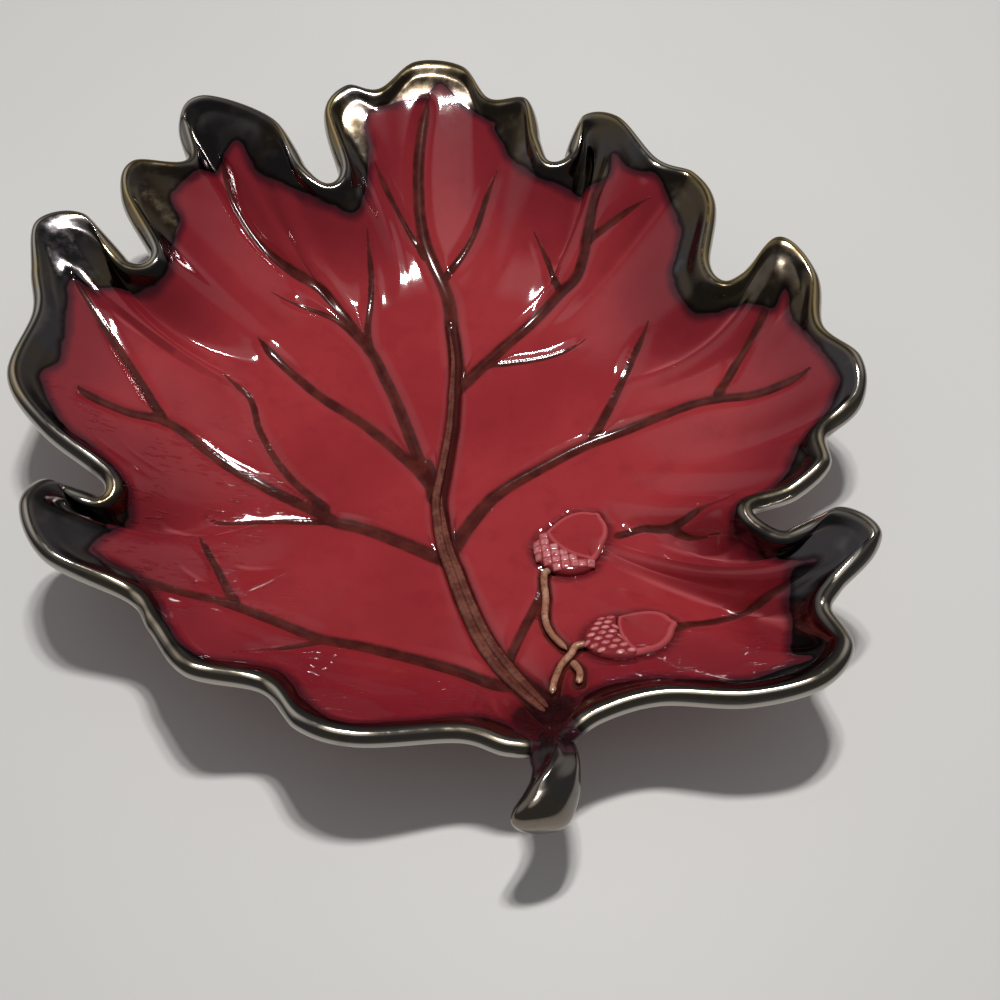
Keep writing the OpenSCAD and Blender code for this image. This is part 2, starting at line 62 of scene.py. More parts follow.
# The rim, clockwise from the tip: x and y as shares of the leaf, height as a share of RIM_H,
# lustre band as a share of BAND_W, bearing of the wall line's root, and its bend where it hooks
RIM = (
    (.030, .540, 1.00, 1.1, 4),
    (.095, .525, .98, .9, 9),
    (.125, .470, .90, .7, 14),
    (.175, .455, .93, 1.3, 19),
    (.180, .390, .85, .9, 24),
    (.190, .355, .79, .6, 29),
    (.220, .360, .81, .7, 33, .195, .260),
    (.250, .410, .92, 1.5, 36, .260, .290),
    (.290, .385, 1.01, 1.7, 40, .245, .275),
    (.325, .310, .95, .8, 45),
    (.370, .285, .91, .8, 50),
    (.385, .230, .89, .9, 56),
    (.360, .150, .79, .9, 63),
    (.370, .115, .77, .8, 68),
    (.400, .110, .82, 1.0, 73, .373, .030),
    (.450, .135, 1.00, 2.0, 78, .413, .010),
    (.480, .080, .94, .9, 83, .400, -.005),
    (.465, .005, .90, .6, 88, .375, -.040),
    (.490, -.055, .96, .7, 94, .375, -.085),
    (.480, -.105, .89, .7, 100, .360, -.115),
    (.430, -.137, .81, .6, 106, .330, -.125),
    (.420, -.180, .83, .8, 112),
    (.380, -.205, .77, .6, 118),
    (.323, -.220, .75, .6, 125),
    (.353, -.265, .78, .8, 131, .315, -.280),
    (.410, -.260, .94, 1.8, 136, .335, -.350),
    (.437, -.300, .99, 2.0, 140, .335, -.340),
    (.387, -.337, .88, 1.7, 144, .335, -.325),
    (.370, -.360, .81, 1.4, 148, .345, -.353),
    (.375, -.410, .90, 1.6, 152, .305, -.370),
    (.335, -.445, .91, 1.1, 156),
    (.265, -.450, .86, .9, 161),
    (.180, -.432, .81, .7, 166),
    (.115, -.440, .78, .8, 171),
    (.065, -.463, .75, 1.0, 176),
    (.022, -.460, .75, 1.0, 181),
    (-.025, -.442, .79, .7, 186),
    (-.125, -.440, .89, .6, 193),
    (-.180, -.415, .90, .6, 200),
    (-.215, -.365, .82, .6, 207),
    (-.285, -.345, .91, .6, 214),
    (-.322, -.290, .89, .6, 221),
    (-.350, -.243, .82, .6, 228),
    (-.428, -.202, .97, 1.1, 235, -.307, -.183),
    (-.457, -.140, 1.01, 2.3, 241, -.340, -.187),
    (-.442, -.098, .88, 1.7, 246, -.363, -.195),
    (-.393, -.112, .75, .7, 250, -.345, -.145),
    (-.383, -.080, .76, .6, 255),
    (-.448, -.020, .90, .6, 262),
    (-.488, .055, .96, .8, 269),
    (-.470, .155, .91, .9, 277),
    (-.475, .220, .94, 1.1, 285),
    (-.473, .290, 1.01, 2.4, 292, -.370, .140),
    (-.420, .303, .96, 2.1, 297, -.400, .150),
    (-.372, .243, .79, .7, 302, -.355, .180),
    (-.335, .255, .80, .6, 307),
    (-.370, .345, .92, 1.5, 312),
    (-.357, .397, .96, 1.3, 317),
    (-.290, .413, .85, .8, 322),
    (-.297, .490, .92, 1.3, 326),
    (-.258, .505, 1.02, 1.9, 330),
    (-.173, .450, .98, 1.9, 334, -.180, .335),
    (-.140, .380, .85, .9, 339, -.140, .310),
    (-.107, .355, .77, .6, 343),
    (-.085, .380, .80, .8, 347, -.035, .300),
    (-.098, .470, .92, 1.6, 351, -.010, .350),
    (-.067, .507, .98, 1.5, 355, -.015, .372),
    (-.025, .500, .95, .8, 359),
)

# The veins from root to end, each with its size beside a main vein
VEINS = (
    (1.1, (.034, .100), (.035, .170), (.035, .230), (.013, .315), (.014, .385), (.026, .445),
     (.045, .500)),
    (.45, (.010, .290), (-.027, .368), (-.043, .413)),
    (.6, (.037, .259), (.080, .307), (.106, .353), (.127, .385)),
    (.95, (.031, .076), (.068, .109), (.115, .147), (.180, .194), (.214, .216), (.234, .260),
     (.248, .296), (.265, .320), (.275, .345)),
    (.5, (.068, .109), (.153, .108), (.216, .125)),
    (.5, (.188, .199), (.178, .248), (.164, .292)),
    (.6, (.236, .251), (.271, .261), (.314, .275)),
    (1.0, (-.008, -.176), (.019, -.137), (.061, -.094), (.126, -.061), (.186, -.038),
     (.255, -.025), (.317, -.020), (.353, -.029), (.386, -.045), (.421, -.049), (.449, -.046)),
    (.7, (.187, -.037), (.227, .021), (.263, .077), (.291, .114)),
    (.7, (.352, -.020), (.383, .018), (.418, .060), (.430, .085)),
    (.6, (.194, -.186), (.224, -.179), (.254, -.190), (.294, -.190), (.333, -.179)),
    (.45, (.254, -.190), (.274, -.210), (.305, -.225)),
    (.6, (.225, -.338), (.279, -.328), (.321, -.315), (.357, -.311), (.390, -.305)),
    (.8, (.032, -.350), (.048, -.322), (.080, -.268), (.092, -.240)),
    (.9, (-.018, -.090), (-.021, -.038), (-.031, -.026), (-.048, .056), (-.071, .136),
     (-.078, .153), (-.100, .198), (-.135, .253), (-.176, .289), (-.216, .330), (-.238, .368),
     (-.245, .407), (-.248, .440)),
    (.5, (-.078, .153), (-.125, .211), (-.204, .246)),
    (.6, (-.078, .153), (-.078, .190), (-.066, .258), (-.066, .320)),
    (.9, (-.013, -.084), (-.036, -.040), (-.091, .031), (-.149, .086), (-.196, .142),
     (-.224, .177)),
    (1.0, (-.017, -.182), (-.048, -.160), (-.103, -.126), (-.140, -.111), (-.159, -.096),
     (-.216, -.057), (-.273, -.019), (-.330, .028), (-.377, .032), (-.415, .044), (-.430, .055)),
    (.65, (-.337, .028), (-.370, .096), (-.401, .152), (-.426, .203), (-.440, .235)),
    (.6, (-.151, -.091), (-.196, -.034), (-.226, .031), (-.238, .086), (-.270, .115)),
    (.5, (-.140, -.111), (-.198, -.107), (-.274, -.105), (-.296, -.093)),
    (1.0, (.044, -.372), (.016, -.363), (-.032, -.342), (-.097, -.317), (-.166, -.292), (-.201, -.275),
     (-.252, -.253), (-.315, -.231), (-.362, -.216), (-.395, -.190)),
    (.55, (-.160, -.296), (-.179, -.304), (-.253, -.328)),
    (.6, (-.250, -.254), (-.277, -.185), (-.299, -.138)),
)

# A vein is a stained channel along a wider valley. It narrows along its run and comes to a point
# over its last stretch, and it sinks in over its first and its last
VALLEY_HALF = 7.5
VALLEY_DEEP = 1.45
CHANNEL_HALF = 3.1
CHANNEL_DEEP = 0.5
CHANNEL_FLAT = 0.45
CHANNEL_BANK = 0.95
VEIN_END = 0.58
VEIN_TAPER = 0.6
VEIN_TIP = 14.0
VEIN_TIP_SHARE = 0.3
VEIN_SINK = 8.0

# The stain of a vein: how dark it is in the smallest ones, and how much it fades along its run
TONE_LEAST = 0.4
TONE_FADE = 0.62

# Short creases in the glaze of the left wall and by the near lip, which the stain doesn't fill
CREASES = (
    ((-.430, .010), (-.395, -.030), (-.340, -.070), (-.290, -.080)),
    ((-.400, .000), (-.350, -.045), (-.300, -.060)),
    ((-.375, -.075), (-.330, -.120), (-.270, -.140), (-.215, -.135)),
    ((-.350, -.110), (-.300, -.160), (-.240, -.185), (-.180, -.180)),
    ((-.345, -.150), (-.300, -.205), (-.250, -.225)),
    ((-.300, -.270), (-.230, -.300), (-.160, -.335), (-.105, -.350)),
    ((-.250, -.310), (-.190, -.345), (-.130, -.375)),
    ((-.170, -.360), (-.110, -.385), (-.050, -.395)),
    ((.170, -.400), (.230, -.395), (.290, -.385)),
    ((.130, -.395), (.180, -.410), (.240, -.410)),
    ((.345, -.240), (.300, -.245), (.270, -.235)),
)
CREASE_HALF = 1.5
CREASE_DEEP = 0.18
CREASE_SHOULDER = 2.0
CREASE_SHOULDER_DEEP = 0.6 * CREASE_DEEP

# The bed that the raised midrib lies in, from the stem up, and the vein that goes on from it
MIDRIB = ((.078, -.428), (.063, -.396), (.036, -.345), (.017, -.301), (.004, -.250),
          (-.004, -.205), (-.011, -.166), (-.013, -.124), (-.011, -.091), (0, -.050),
          (.016, .012), (.026, .068), (.034, .124), (.035, .180))
BED_HALF = 4.6
BED_END = 0.5
BED_DEEP = 1.2
BED_VALLEY = 9.5
BED_TONE = 1.25

# The beds of the acorns' twigs
TWIG_BED = dict(half=2.3, deep=0.75, wide=4.6, wide_deep=0.5, shade=0.62)

# The moat round an acorn: where it starts to rise, over what width, and the low bank outside it.
# Relief fades out under the acorn itself
MOAT_DEEP = 0.5
MOAT_FLAT = 0.8
MOAT_SLOPE = 2.6
BANK_HIGH = 0.05
BANK_AT = 3.7
BANK_HALF = 1.1
UNDER_EDGE = 1.5
UNDER_SHARE = 0.7

# Dark glaze stands thick at the root of the stem: where, how far, how thick, and how much it sinks
STEM_POOL = (20.0, -131.0)
POOL_REACH = 14.0
POOL_HIGH = 2.2
POOL_DIP = 0.25

# The edge of the painted lustre on the inside, clockwise from the tip, and how far the lustre
# runs down the outside
LUSTRE_EDGE = (
    (.062, .511), (.089, .482), (.127, .447), (.131, .434), (.151, .388), (.191, .342),
    (.264, .316), (.280, .341), (.296, .313), (.331, .289), (.351, .223), (.330, .155),
    (.343, .103), (.393, .085), (.430, .064), (.448, .081), (.451, .034), (.467, -.039),
    (.470, -.081), (.437, -.126), (.410, -.148), (.380, -.186), (.331, -.212), (.316, -.234),
    (.329, -.246), (.351, -.287), (.384, -.303), (.357, -.305), (.352, -.354), (.325, -.407),
    (.338, -.422), (.263, -.431), (.185, -.410), (.119, -.412), (.101, -.431), (.092, -.450),
    (.078, -.485), (.058, -.490), (.036, -.452), (.020, -.432), (-.006, -.425), (-.041, -.429),
    (-.084, -.432),
    (-.131, -.432), (-.157, -.420), (-.179, -.393), (-.201, -.357), (-.230, -.345),
    (-.268, -.341), (-.294, -.329), (-.314, -.301), (-.328, -.261), (-.348, -.222),
    (-.377, -.205), (-.399, -.191), (-.368, -.148), (-.385, -.158), (-.372, -.104),
    (-.376, -.084), (-.402, -.049), (-.444, -.005), (-.465, .057), (-.449, .092), (-.442, .213),
    (-.411, .208), (-.375, .224), (-.330, .236), (-.323, .284), (-.311, .326), (-.319, .361),
    (-.295, .397), (-.256, .425), (-.224, .446), (-.201, .406), (-.165, .377), (-.118, .348),
    (-.079, .335), (-.062, .379), (-.049, .422), (-.047, .473), (-.006, .488), (.036, .495),
)
OUTER_LUSTRE = 9.0

# Values for a place that is far from a groove, from the lustre or from the lip
PLAIN = 9.0
FAR_FROM_LUSTRE = -60.0
FAR_INSIDE = -60.0
FAR_OUTSIDE = 90.0

# An acorn: middle of the line where nut meets cup, direction, then length, width and height
# of its nut and of its cup. Twigs and the spur are given by shares of the leaf
UPPER_ACORN = dict(place=(.132, -.194), turn=44, nut=(18.0, 21.5, 3.4), cup=(11.5, 24.0, 4.4))
LOWER_ACORN = dict(place=(.171, -.338), turn=2, nut=(16.0, 19.0, 3.2), cup=(14.0, 21.0, 4.2))
UPPER_TWIG = ((.094, -.262), (.089, -.288), (.092, -.313), (.105, -.342))
LOWER_TWIG = ((.108, -.350), (.095, -.364), (.086, -.383), (.081, -.400))
SPUR = ((.107, -.362), (.112, -.379), (.108, -.397))
TWIG_W = 4.0

# The outline of an acorn: how blunt its ends are, the bow of the line where nut meets cup, and the
# nib at the tip of the nut
BLUNTNESS = 0.8
NUT_BULGE = 0.12
NIB_HIGH = 1.1
NIB_HALF = 1.3

# Counts of lines round the leaf: on the wall, past the share of it where they double, and on the
# back
LINES = 612
FINE = 1224
FINE_FROM = 0.42
BACK = 204


def srgb(code, alpha=1.0):
    """A colour as it is seen, from its code, as the linear values that a shader takes."""
    parts = [int(code[i:i + 2], 16) / 255 for i in (1, 3, 5)]
    return tuple(c / 12.92 if c <= 0.04045 else ((c + 0.055) / 1.055) ** 2.4 for c in parts) + (alpha,)


def ease(x):
    x = np.clip(x, 0, 1)
    return x * x * (3 - 2 * x)


def unit(v):
    return v / np.maximum(np.linalg.norm(v, axis=-1, keepdims=True), 1e-12)


def heading(turn):
    return np.array([math.cos(math.radians(turn)), math.sin(math.radians(turn))])


def on_blade(shares):
    return np.array(shares, float) * (LEAF_W, LEAF_LEN)


def cubic(a, b, c, d, f):
    """The smooth way from b to c at the share f, with a before them and d after them."""
    return (2 * b + (c - a) * f + (2 * a - 5 * b + 4 * c - d) * f ** 2
            + (3 * b - a - 3 * c + d) * f ** 3) / 2


def spline(points, steps, closed=False):
    """A smooth line through points, with that many steps between two of them."""
    p = np.array(points, float)
    if closed:
        p = np.concatenate([p[-1:], p, p[:2]])
    else:
        p = np.concatenate([2 * p[:1] - p[1:2], p, 2 * p[-1:] - p[-2:-1]])
    parts = len(p) - 3
    u = np.arange(parts * steps + (0 if closed else 1)) / steps
    i = np.minimum(u.astype(int), parts - 1)
    return cubic(p[i], p[i + 1], p[i + 2], p[i + 3], (u - i)[:, None])


# The wall of the leaf: one line from floor to lip for each place round the rim

def full_row(row):
    root = FLOOR_R * np.array([math.sin(math.radians(row[4])), math.cos(math.radians(row[4]))])
    lip = on_blade(row[:2])
    bend = on_blade(row[5:7]) if len(row) == 7 else root + 0.55 * (lip - root)
    return [*lip, row[2] * RIM_H, row[3] * BAND_W, row[4], *bend]


ROWS = np.array([full_row(row) for row in RIM])
ROW_COUNT = len(ROWS)


def row_at(u):
    """The row of the rim at u, which counts rows and may lie between two of them."""
    u = np.asarray(u, float)
    i = np.floor(u).astype(int)

    def knot(k):
        row = ROWS[k % ROW_COUNT].copy()
        row[..., 4] += 360.0 * (k // ROW_COUNT)
        return row
    return cubic(knot(i - 1), knot(i), knot(i + 1), knot(i + 2), (u - i)[..., None])


def root_of(row):
    turn = np.radians(row[..., 4])
    return FLOOR_R * np.stack([np.sin(turn), np.cos(turn)], -1)


def reach_of(row):
    return np.linalg.norm(row[..., 0:2] - root_of(row), axis=-1)


def middle(row, t):
    """The middle of the wall at the share t of the way from the floor to the lip."""
    root, lip, bend = root_of(row), row[..., 0:2], row[..., 5:7]
    k = np.asarray(t, float)[..., None]
    plan = root * (1 - k) ** 2 + bend * 2 * k * (1 - k) + lip * k ** 2
    rise = row[..., 2] - LIP_D / 2 - FLOOR_Z - DISH
    start = 4 * DISH / FLOOR_R ** 2 * ((bend - root) * root).sum(-1)
    low, top = LOBE_HEIGHTS
    tip = np.clip((row[..., 2] / RIM_H - low) / (top - low), 0, 1)
    end = reach_of(row) * (END_SLOPES[0] + (END_SLOPES[1] - END_SLOPES[0]) * tip)
    z = (FLOOR_Z + DISH + rise * (3 * t ** 2 - 2 * t ** 3) + start * (t ** 3 - 2 * t ** 2 + t)
         + end * (t ** 3 - t ** 2))
    return np.concatenate([plan, z[..., None]], -1)


def wall_spot(u, t, nudge=0.01):
    """Middle of the wall, the direction up off the glaze, and the one outward along the wall."""
    u, t = np.broadcast_arrays(np.asarray(u, float), np.asarray(t, float))
    row = row_at(u)
    mid = middle(row, t)
    along = middle(row_at(u + nudge), t) - middle(row_at(u - nudge), t)
    out = unit(middle(row, np.minimum(t + nudge, 1)) - middle(row, t - nudge))
    return mid, unit(np.cross(along, out)), out


def floor_spot(plan):
    bow = DISH / FLOOR_R ** 2
    square = (plan ** 2).sum(-1)
    mid = np.concatenate([plan, (FLOOR_Z + bow * square)[..., None]], -1)
    up = unit(np.concatenate([-2 * bow * plan, np.ones_like(square)[..., None]], -1))
    return mid, up


SEARCH_U, SEARCH_T = np.meshgrid(np.arange(0, ROW_COUNT, 0.25), np.linspace(0, 1, 31), indexing="ij")
SEARCH_PLAN = middle(row_at(SEARCH_U), SEARCH_T)[..., :2].reshape(-1, 2)


def locate(plan):
    """The place u, t on the wall of points given in plan."""
    near = np.array([((SEARCH_PLAN - p) ** 2).sum(-1).argmin() for p in plan])
    u, t = SEARCH_U.ravel()[near], SEARCH_T.ravel()[near]
    for _ in range(8):
        here = middle(row_at(u), t)[:, :2]
        along = (middle(row_at(u + 0.01), t) - middle(row_at(u - 0.01), t))[:, :2] / 0.02
        out = (middle(row_at(u), t + 0.01) - middle(row_at(u), t - 0.01))[:, :2] / 0.02
        miss = plan - here
        area = along[:, 0] * out[:, 1] - along[:, 1] * out[:, 0]
        u = u + (miss[:, 0] * out[:, 1] - miss[:, 1] * out[:, 0]) / area
        t = np.clip(t + (along[:, 0] * miss[:, 1] - along[:, 1] * miss[:, 0]) / area, -0.05, 1.0)
    return u, t


def seat(plan, height):
    """Points that far above the glaze over places in plan, and the directions up off it."""
    plan = np.asarray(plan, float).reshape(-1, 2)
    mid, up = floor_spot(plan)
    far = np.linalg.norm(plan, axis=-1) > FLOOR_R
    if far.any():
        u, t = locate(plan[far])
        mid[far], up[far], _ = wall_spot(u, t)
    lift = WALL / 2 + np.asarray(height, float)
    return mid + up * np.broadcast_to(lift, len(plan))[:, None], up


# Relief pressed into the glaze: veins, the midrib's bed, moats round the acorns, wrinkles

def off_line(plan, line):
    """Signed distance from a line, and the share of the way along it, for each place in plan."""
    a, b = line[:-1], line[1:]
    run = b - a
    square = (run ** 2).sum(-1)
    best = np.full(len(plan), 1e9)
    side = np.zeros(len(plan))
    way = np.zeros(len(plan))
    steps = np.arange(len(a))
    for start in range(0, len(plan), 20000):
        p = plan[start:start + 20000, None, :]
        f = np.clip(((p - a) * run).sum(-1) / square, 0, 1)
        miss = p - a - f[..., None] * run
        far = (miss ** 2).sum(-1)
        k = far.argmin(1)
        pick = np.arange(len(k))
        best[start:start + 20000] = np.sqrt(far[pick, k])
        turn = run[k, 0] * miss[pick, k, 1] - run[k, 1] * miss[pick, k, 0]
        side[start:start + 20000] = np.where(turn < 0, -1.0, 1.0)
        way[start:start + 20000] = (steps[k] + f[pick, k]) / len(a)
    return best * side, way


def acorn_outline(acorn, part):
    """The outline of an acorn's nut or cup, as places ahead and across from where the two meet."""
    length, width, _ = acorn[part]
    side = 1 if part == "nut" else -1
    a = np.radians((np.arange(64) + 0.5) * 360 / 64)
    across = -np.cos(a) * width / 2
    nut_w = acorn["nut"][1]
    bulge = NUT_BULGE * nut_w * np.maximum(0, 1 - (2 * across / nut_w) ** 2)
    ahead = np.where(a < math.pi, np.abs(np.sin(a)) ** BLUNTNESS * length, -side * bulge)
    if part == "nut":
        ahead = ahead + np.where(a < math.pi, NIB_HIGH * np.exp(-(across / NIB_HALF) ** 2), 0)
    return np.stack([ahead, across], -1)


def acorn_plan(acorn, part, local):
    """The places in plan of places ahead and across on an acorn's nut or cup."""
    side = 1 if part == "nut" else -1
    ahead = heading(acorn["turn"]) * side
    across = np.array([ahead[1], -ahead[0]])
    return on_blade(acorn["place"]) + local[:, :1] * ahead + local[:, 1:] * across


def inside_of(plan, ring):
    """Whether places in plan are inside a closed ring."""
    x, y = plan[:, 0], plan[:, 1]
    hit = np.zeros(len(plan), bool)
    for (ax, ay), (bx, by) in zip(ring, np.roll(ring, -1, 0)):
        if ay == by:
            continue
        cross = (ay > y) != (by > y)
        hit ^= cross & (x < (bx - ax) * (y - ay) / (by - ay) + ax)
    return hit


def signed_off(plan, ring):
    off, _ = off_line(plan, np.concatenate([ring, ring[:1]]))
    return np.where(inside_of(plan, ring), -np.abs(off), np.abs(off))


VEIN_LINES = [(vein[0], spline(on_blade(vein[1:]), 8)) for vein in VEINS]
BED_LINE = spline(on_blade(MIDRIB), 8)
ACORN_RINGS = [acorn_plan(acorn, part, acorn_outline(acorn, part))
               for acorn in (UPPER_ACORN, LOWER_ACORN) for part in ("nut", "cup")]


def behind_cup(acorn, run):
    return on_blade(acorn["place"]) - heading(acorn["turn"]) * (acorn["cup"][0] + run)


def twig_line(acorn, shares):
    start = [behind_cup(acorn, run) for run in (-1.0, 0.7 * TWIG_W)]
    return spline(np.concatenate([start, on_blade(shares)]), 6)


TWIG_LINES = [twig_line(UPPER_ACORN, UPPER_TWIG), twig_line(LOWER_ACORN, LOWER_TWIG),
              spline(on_blade(SPUR), 6)]
CREASE_LINES = [spline(on_blade(crease), 6) for crease in CREASES]


def stem_pool(plan):
    """How thick the dark glaze stands at the root of the stem; above 1 it is nearly black."""
    return POOL_HIGH * np.exp(-(((plan - STEM_POOL) ** 2).sum(-1) / POOL_REACH ** 2) ** 1.5)


def relief(plan):
    """Depth below the plain glaze, place across the nearest groove, its tone, and thick glaze."""
    count = len(plan)
    valley, channel, tone = np.zeros(count), np.zeros(count), np.zeros(count)
    across = np.full(count, PLAIN)

    def near_line(line, reach):
        low, high = line.min(0) - reach, line.max(0) + reach
        return np.flatnonzero(((plan > low) & (plan < high)).all(-1))

    def groove(spot, off, half, deep, wide, wide_deep, shade):
        share = np.abs(off) / half
        near = share < across[spot]
        across[spot[near]] = share[near]
        tone[spot[near]] = np.broadcast_to(shade, share.shape)[near]
        dip = deep * (1 - ease((share - CHANNEL_FLAT) / CHANNEL_BANK))
        channel[spot] = np.maximum(channel[spot], dip)
        soft = wide_deep * (1 + np.cos(np.pi * np.clip(np.abs(off) / wide, 0, 1))) / 2
        valley[spot] = np.maximum(valley[spot], soft)

    for size, line in VEIN_LINES:
        spot = near_line(line, reach=10)
        off, way = off_line(plan[spot], line)
        length = np.linalg.norm(np.diff(line, axis=0), axis=-1).sum()
        thin = size * (1 - (1 - VEIN_END) * way ** VEIN_TAPER)
        thin = thin * (VEIN_TIP_SHARE + (1 - VEIN_TIP_SHARE) * ease((1 - way) * length / VEIN_TIP))
        deep = np.sqrt(thin) * ease(np.minimum(way, 1 - way) * length / VEIN_SINK + 0.15)
        groove(spot, off, CHANNEL_HALF * thin, CHANNEL_DEEP * deep, VALLEY_HALF * (1 + thin) / 2,
               VALLEY_DEEP * deep, (TONE_LEAST + (1 - TONE_LEAST) * size) * (1 - TONE_FADE * way))
    spot = near_line(BED_LINE, reach=12)
    off, way = off_line(plan[spot], BED_LINE)
    thin = 1 - (1 - BED_END) * way
    groove(spot, off, BED_HALF * thin, BED_DEEP, BED_VALLEY * thin, BED_DEEP, BED_TONE)
    for line in TWIG_LINES:
        spot = near_line(line, reach=8)
        groove(spot, off_line(plan[spot], line)[0], **TWIG_BED)
    for line in CREASE_LINES:
        spot = near_line(line, reach=5)
        off, way = off_line(plan[spot], line)
        pinch = (CREASE_DEEP * np.exp(-(off / CREASE_HALF) ** 2)
                 + CREASE_SHOULDER_DEEP * np.exp(-(off / CREASE_SHOULDER) ** 2))
        valley[spot] = valley[spot] + pinch * np.sin(np.pi * way)
    moat, bank, under = np.zeros(count), np.zeros(count), np.zeros(count)
    for ring in ACORN_RINGS:
        spot = near_line(ring, reach=9)
        off = signed_off(plan[spot], ring)
        moat[spot] = np.maximum(moat[spot], 1 - ease((off - MOAT_FLAT) / MOAT_SLOPE))
        bank[spot] = np.maximum(bank[spot], np.exp(-((off - BANK_AT) / BANK_HALF) ** 2))
        under[spot] = np.maximum(under[spot], 1 - ease(off + UNDER_EDGE))
    open_part = 1 - under
    moat = np.maximum(moat, stem_pool(plan))
    moat_dip = MOAT_DEEP * np.minimum(moat, 1) * np.where(bank > 0.01, 1, POOL_DIP)
    depth = (valley + channel) * (1 - UNDER_SHARE * under)
    depth = depth + (moat_dip - BANK_HIGH * bank) * open_part
    return depth, across, tone * open_part, moat * open_part


LUSTRE_RING = spline(on_blade(LUSTRE_EDGE), 8, closed=True)


def painted(plan):
    """How far a place on the inside is past the edge of the lustre, in millimetres."""
    return signed_off(plan, LUSTRE_RING)


# The skin of the casting: rings of points from the middle of the inside over the lip to the
# middle of the underside

def strip(a, na, b, nb):
    """Faces between two rings that start at a and b, of which one may have a multiple of points."""
    fine = na >= nb
    n, m = max(na, nb), min(na, nb)
    k = n // m
    f, g = (a, b) if fine else (b, a)
    i = np.arange(n)
    j = i // k
    side = np.where(i - j * k < (k + 1) // 2, j, j + 1) % m
    faces = [np.stack([f + i, g + side, f + (i + 1) % n], -1)]
    if m > 1:
        j = np.arange(m)
        faces.append(np.stack([g + j, g + (j + 1) % m, f + (j * k + (k + 1) // 2) % n], -1))
    faces = np.concatenate(faces)
    return faces if fine else faces[:, ::-1]


def ring_faces(rings, pairs=None):
    """Faces between each ring of points and the next, or between the pairs of rings given."""
    sizes = [len(ring) for ring in rings]
    starts = np.cumsum([0] + sizes)
    pairs = pairs or [(i, i + 1) for i in range(len(rings) - 1)]
    return np.concatenate([strip(starts[a], sizes[a], starts[b], sizes[b]) for a, b in pairs])


class Skin:
    """Rings of points with their values, in order."""

    def __init__(self):
        self.rings = []
        self.kept = []

    def add(self, points, values):
        self.rings.append(points)
        self.kept.append(values)

    def value(self, name):
        return np.concatenate([np.full(len(ring), values.get(name, 0.0))
                               for ring, values in zip(self.rings, self.kept)])


def point_normals(points, faces):
    a, b, c = (points[faces[:, k]] for k in range(3))
    face = np.cross(b - a, c - a)
    total = np.zeros_like(points)
    for k in range(3):
        for axis in range(3):
            total[:, axis] += np.bincount(faces[:, k], face[:, axis], len(points))
    return unit(total)


def crest_values(points, faces, normals):
    """How sharply the skin bends outward at each point, per millimetre, a little smoothed."""
    pairs = np.concatenate([faces[:, (0, 1)], faces[:, (1, 2)], faces[:, (2, 0)]])
    count = len(points)

    def gather(values):
        return sum(np.bincount(pairs[:, side], values[:, side], count) for side in (0, 1))

    run = points[pairs[:, 1]] - points[pairs[:, 0]]
    square = np.maximum((run ** 2).sum(-1), 1e-6)
    bend = np.stack([-(run * normals[pairs[:, 0]]).sum(-1), (run * normals[pairs[:, 1]]).sum(-1)], -1)
    bend = 2 * bend / square[:, None]
    degree = np.maximum(np.bincount(pairs.ravel(), minlength=count), 1)
    crest = gather(bend) / degree
    for _ in range(2):
        crest = (crest + gather(crest[pairs[:, ::-1]]) / degree) / 2
    return crest


def placed(name, data):
    """A new object in the scene."""
    piece = bpy.data.objects.new(name, data)
    bpy.context.scene.collection.objects.link(piece)
    return piece


def keep_values(mesh, values):
    """Keeps values on the points of a mesh, where finishes and node trees read them."""
    for key, value in values.items():
        if np.ndim(value) == 2:
            kept = mesh.attributes.new(key, "FLOAT_VECTOR", "POINT").data
            kept.foreach_set("vector", np.asarray(value, np.float32).ravel())
        else:
            kept = mesh.attributes.new(key, "FLOAT", "POINT").data
            kept.foreach_set("value", np.full(len(kept), value, np.float32))


def solid(name, points, faces, normals=None, **values):
    """A mesh object in metres from points in millimetres, with values kept on its points."""
    mesh = bpy.data.meshes.new(name)
    mesh.vertices.add(len(points))
    mesh.vertices.foreach_set("co", (np.asarray(points, float) * MM).astype(np.float32).ravel())
    faces = np.asarray(faces, np.int32)
    size = faces.shape[1]
    mesh.loops.add(faces.size)
    mesh.loops.foreach_set("vertex_index", faces.ravel())
    mesh.polygons.add(len(faces))
    mesh.polygons.foreach_set("loop_start", np.arange(0, faces.size, size, dtype=np.int32))
    mesh.polygons.foreach_set("use_smooth", np.ones(len(faces), bool))
    mesh.update(calc_edges=True)
    keep_values(mesh, values)
    if normals is not None:
        mesh.normals_split_custom_set_from_vertices(normals.astype(np.float32))
    return placed(name, mesh)


def wear(piece, look, node):
    """Gives a piece its finish and its place in the model."""
    piece.data.materials.clear()
    piece.data.materials.append(look)
    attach(piece, "root")
    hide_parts(node)
    return piece


def lines_at(count):
    return np.arange(count) * ROW_COUNT / count


def seam_at(u):
    row = row_at(u)
    return 1 - row[..., 3] / reach_of(row)


def half_wall(t, reach):
    return (WALL + (LIP_ROUND - WALL) * ease(1 - (1 - t) * reach / LIP_D)) / 2


# A shallow hollow runs along the inside of the lip
HOLLOW_DEEP = 0.12
HOLLOW_AT = 6.0
HOLLOW_HALF = 2.4

# The lip sinks where the stem grows out of it
STEM_ROW = 34.0
STEM_GAP_HALF = 0.42
STEM_GAP_DEEP = 2.6
STEM_GAP_RUN = 9.0

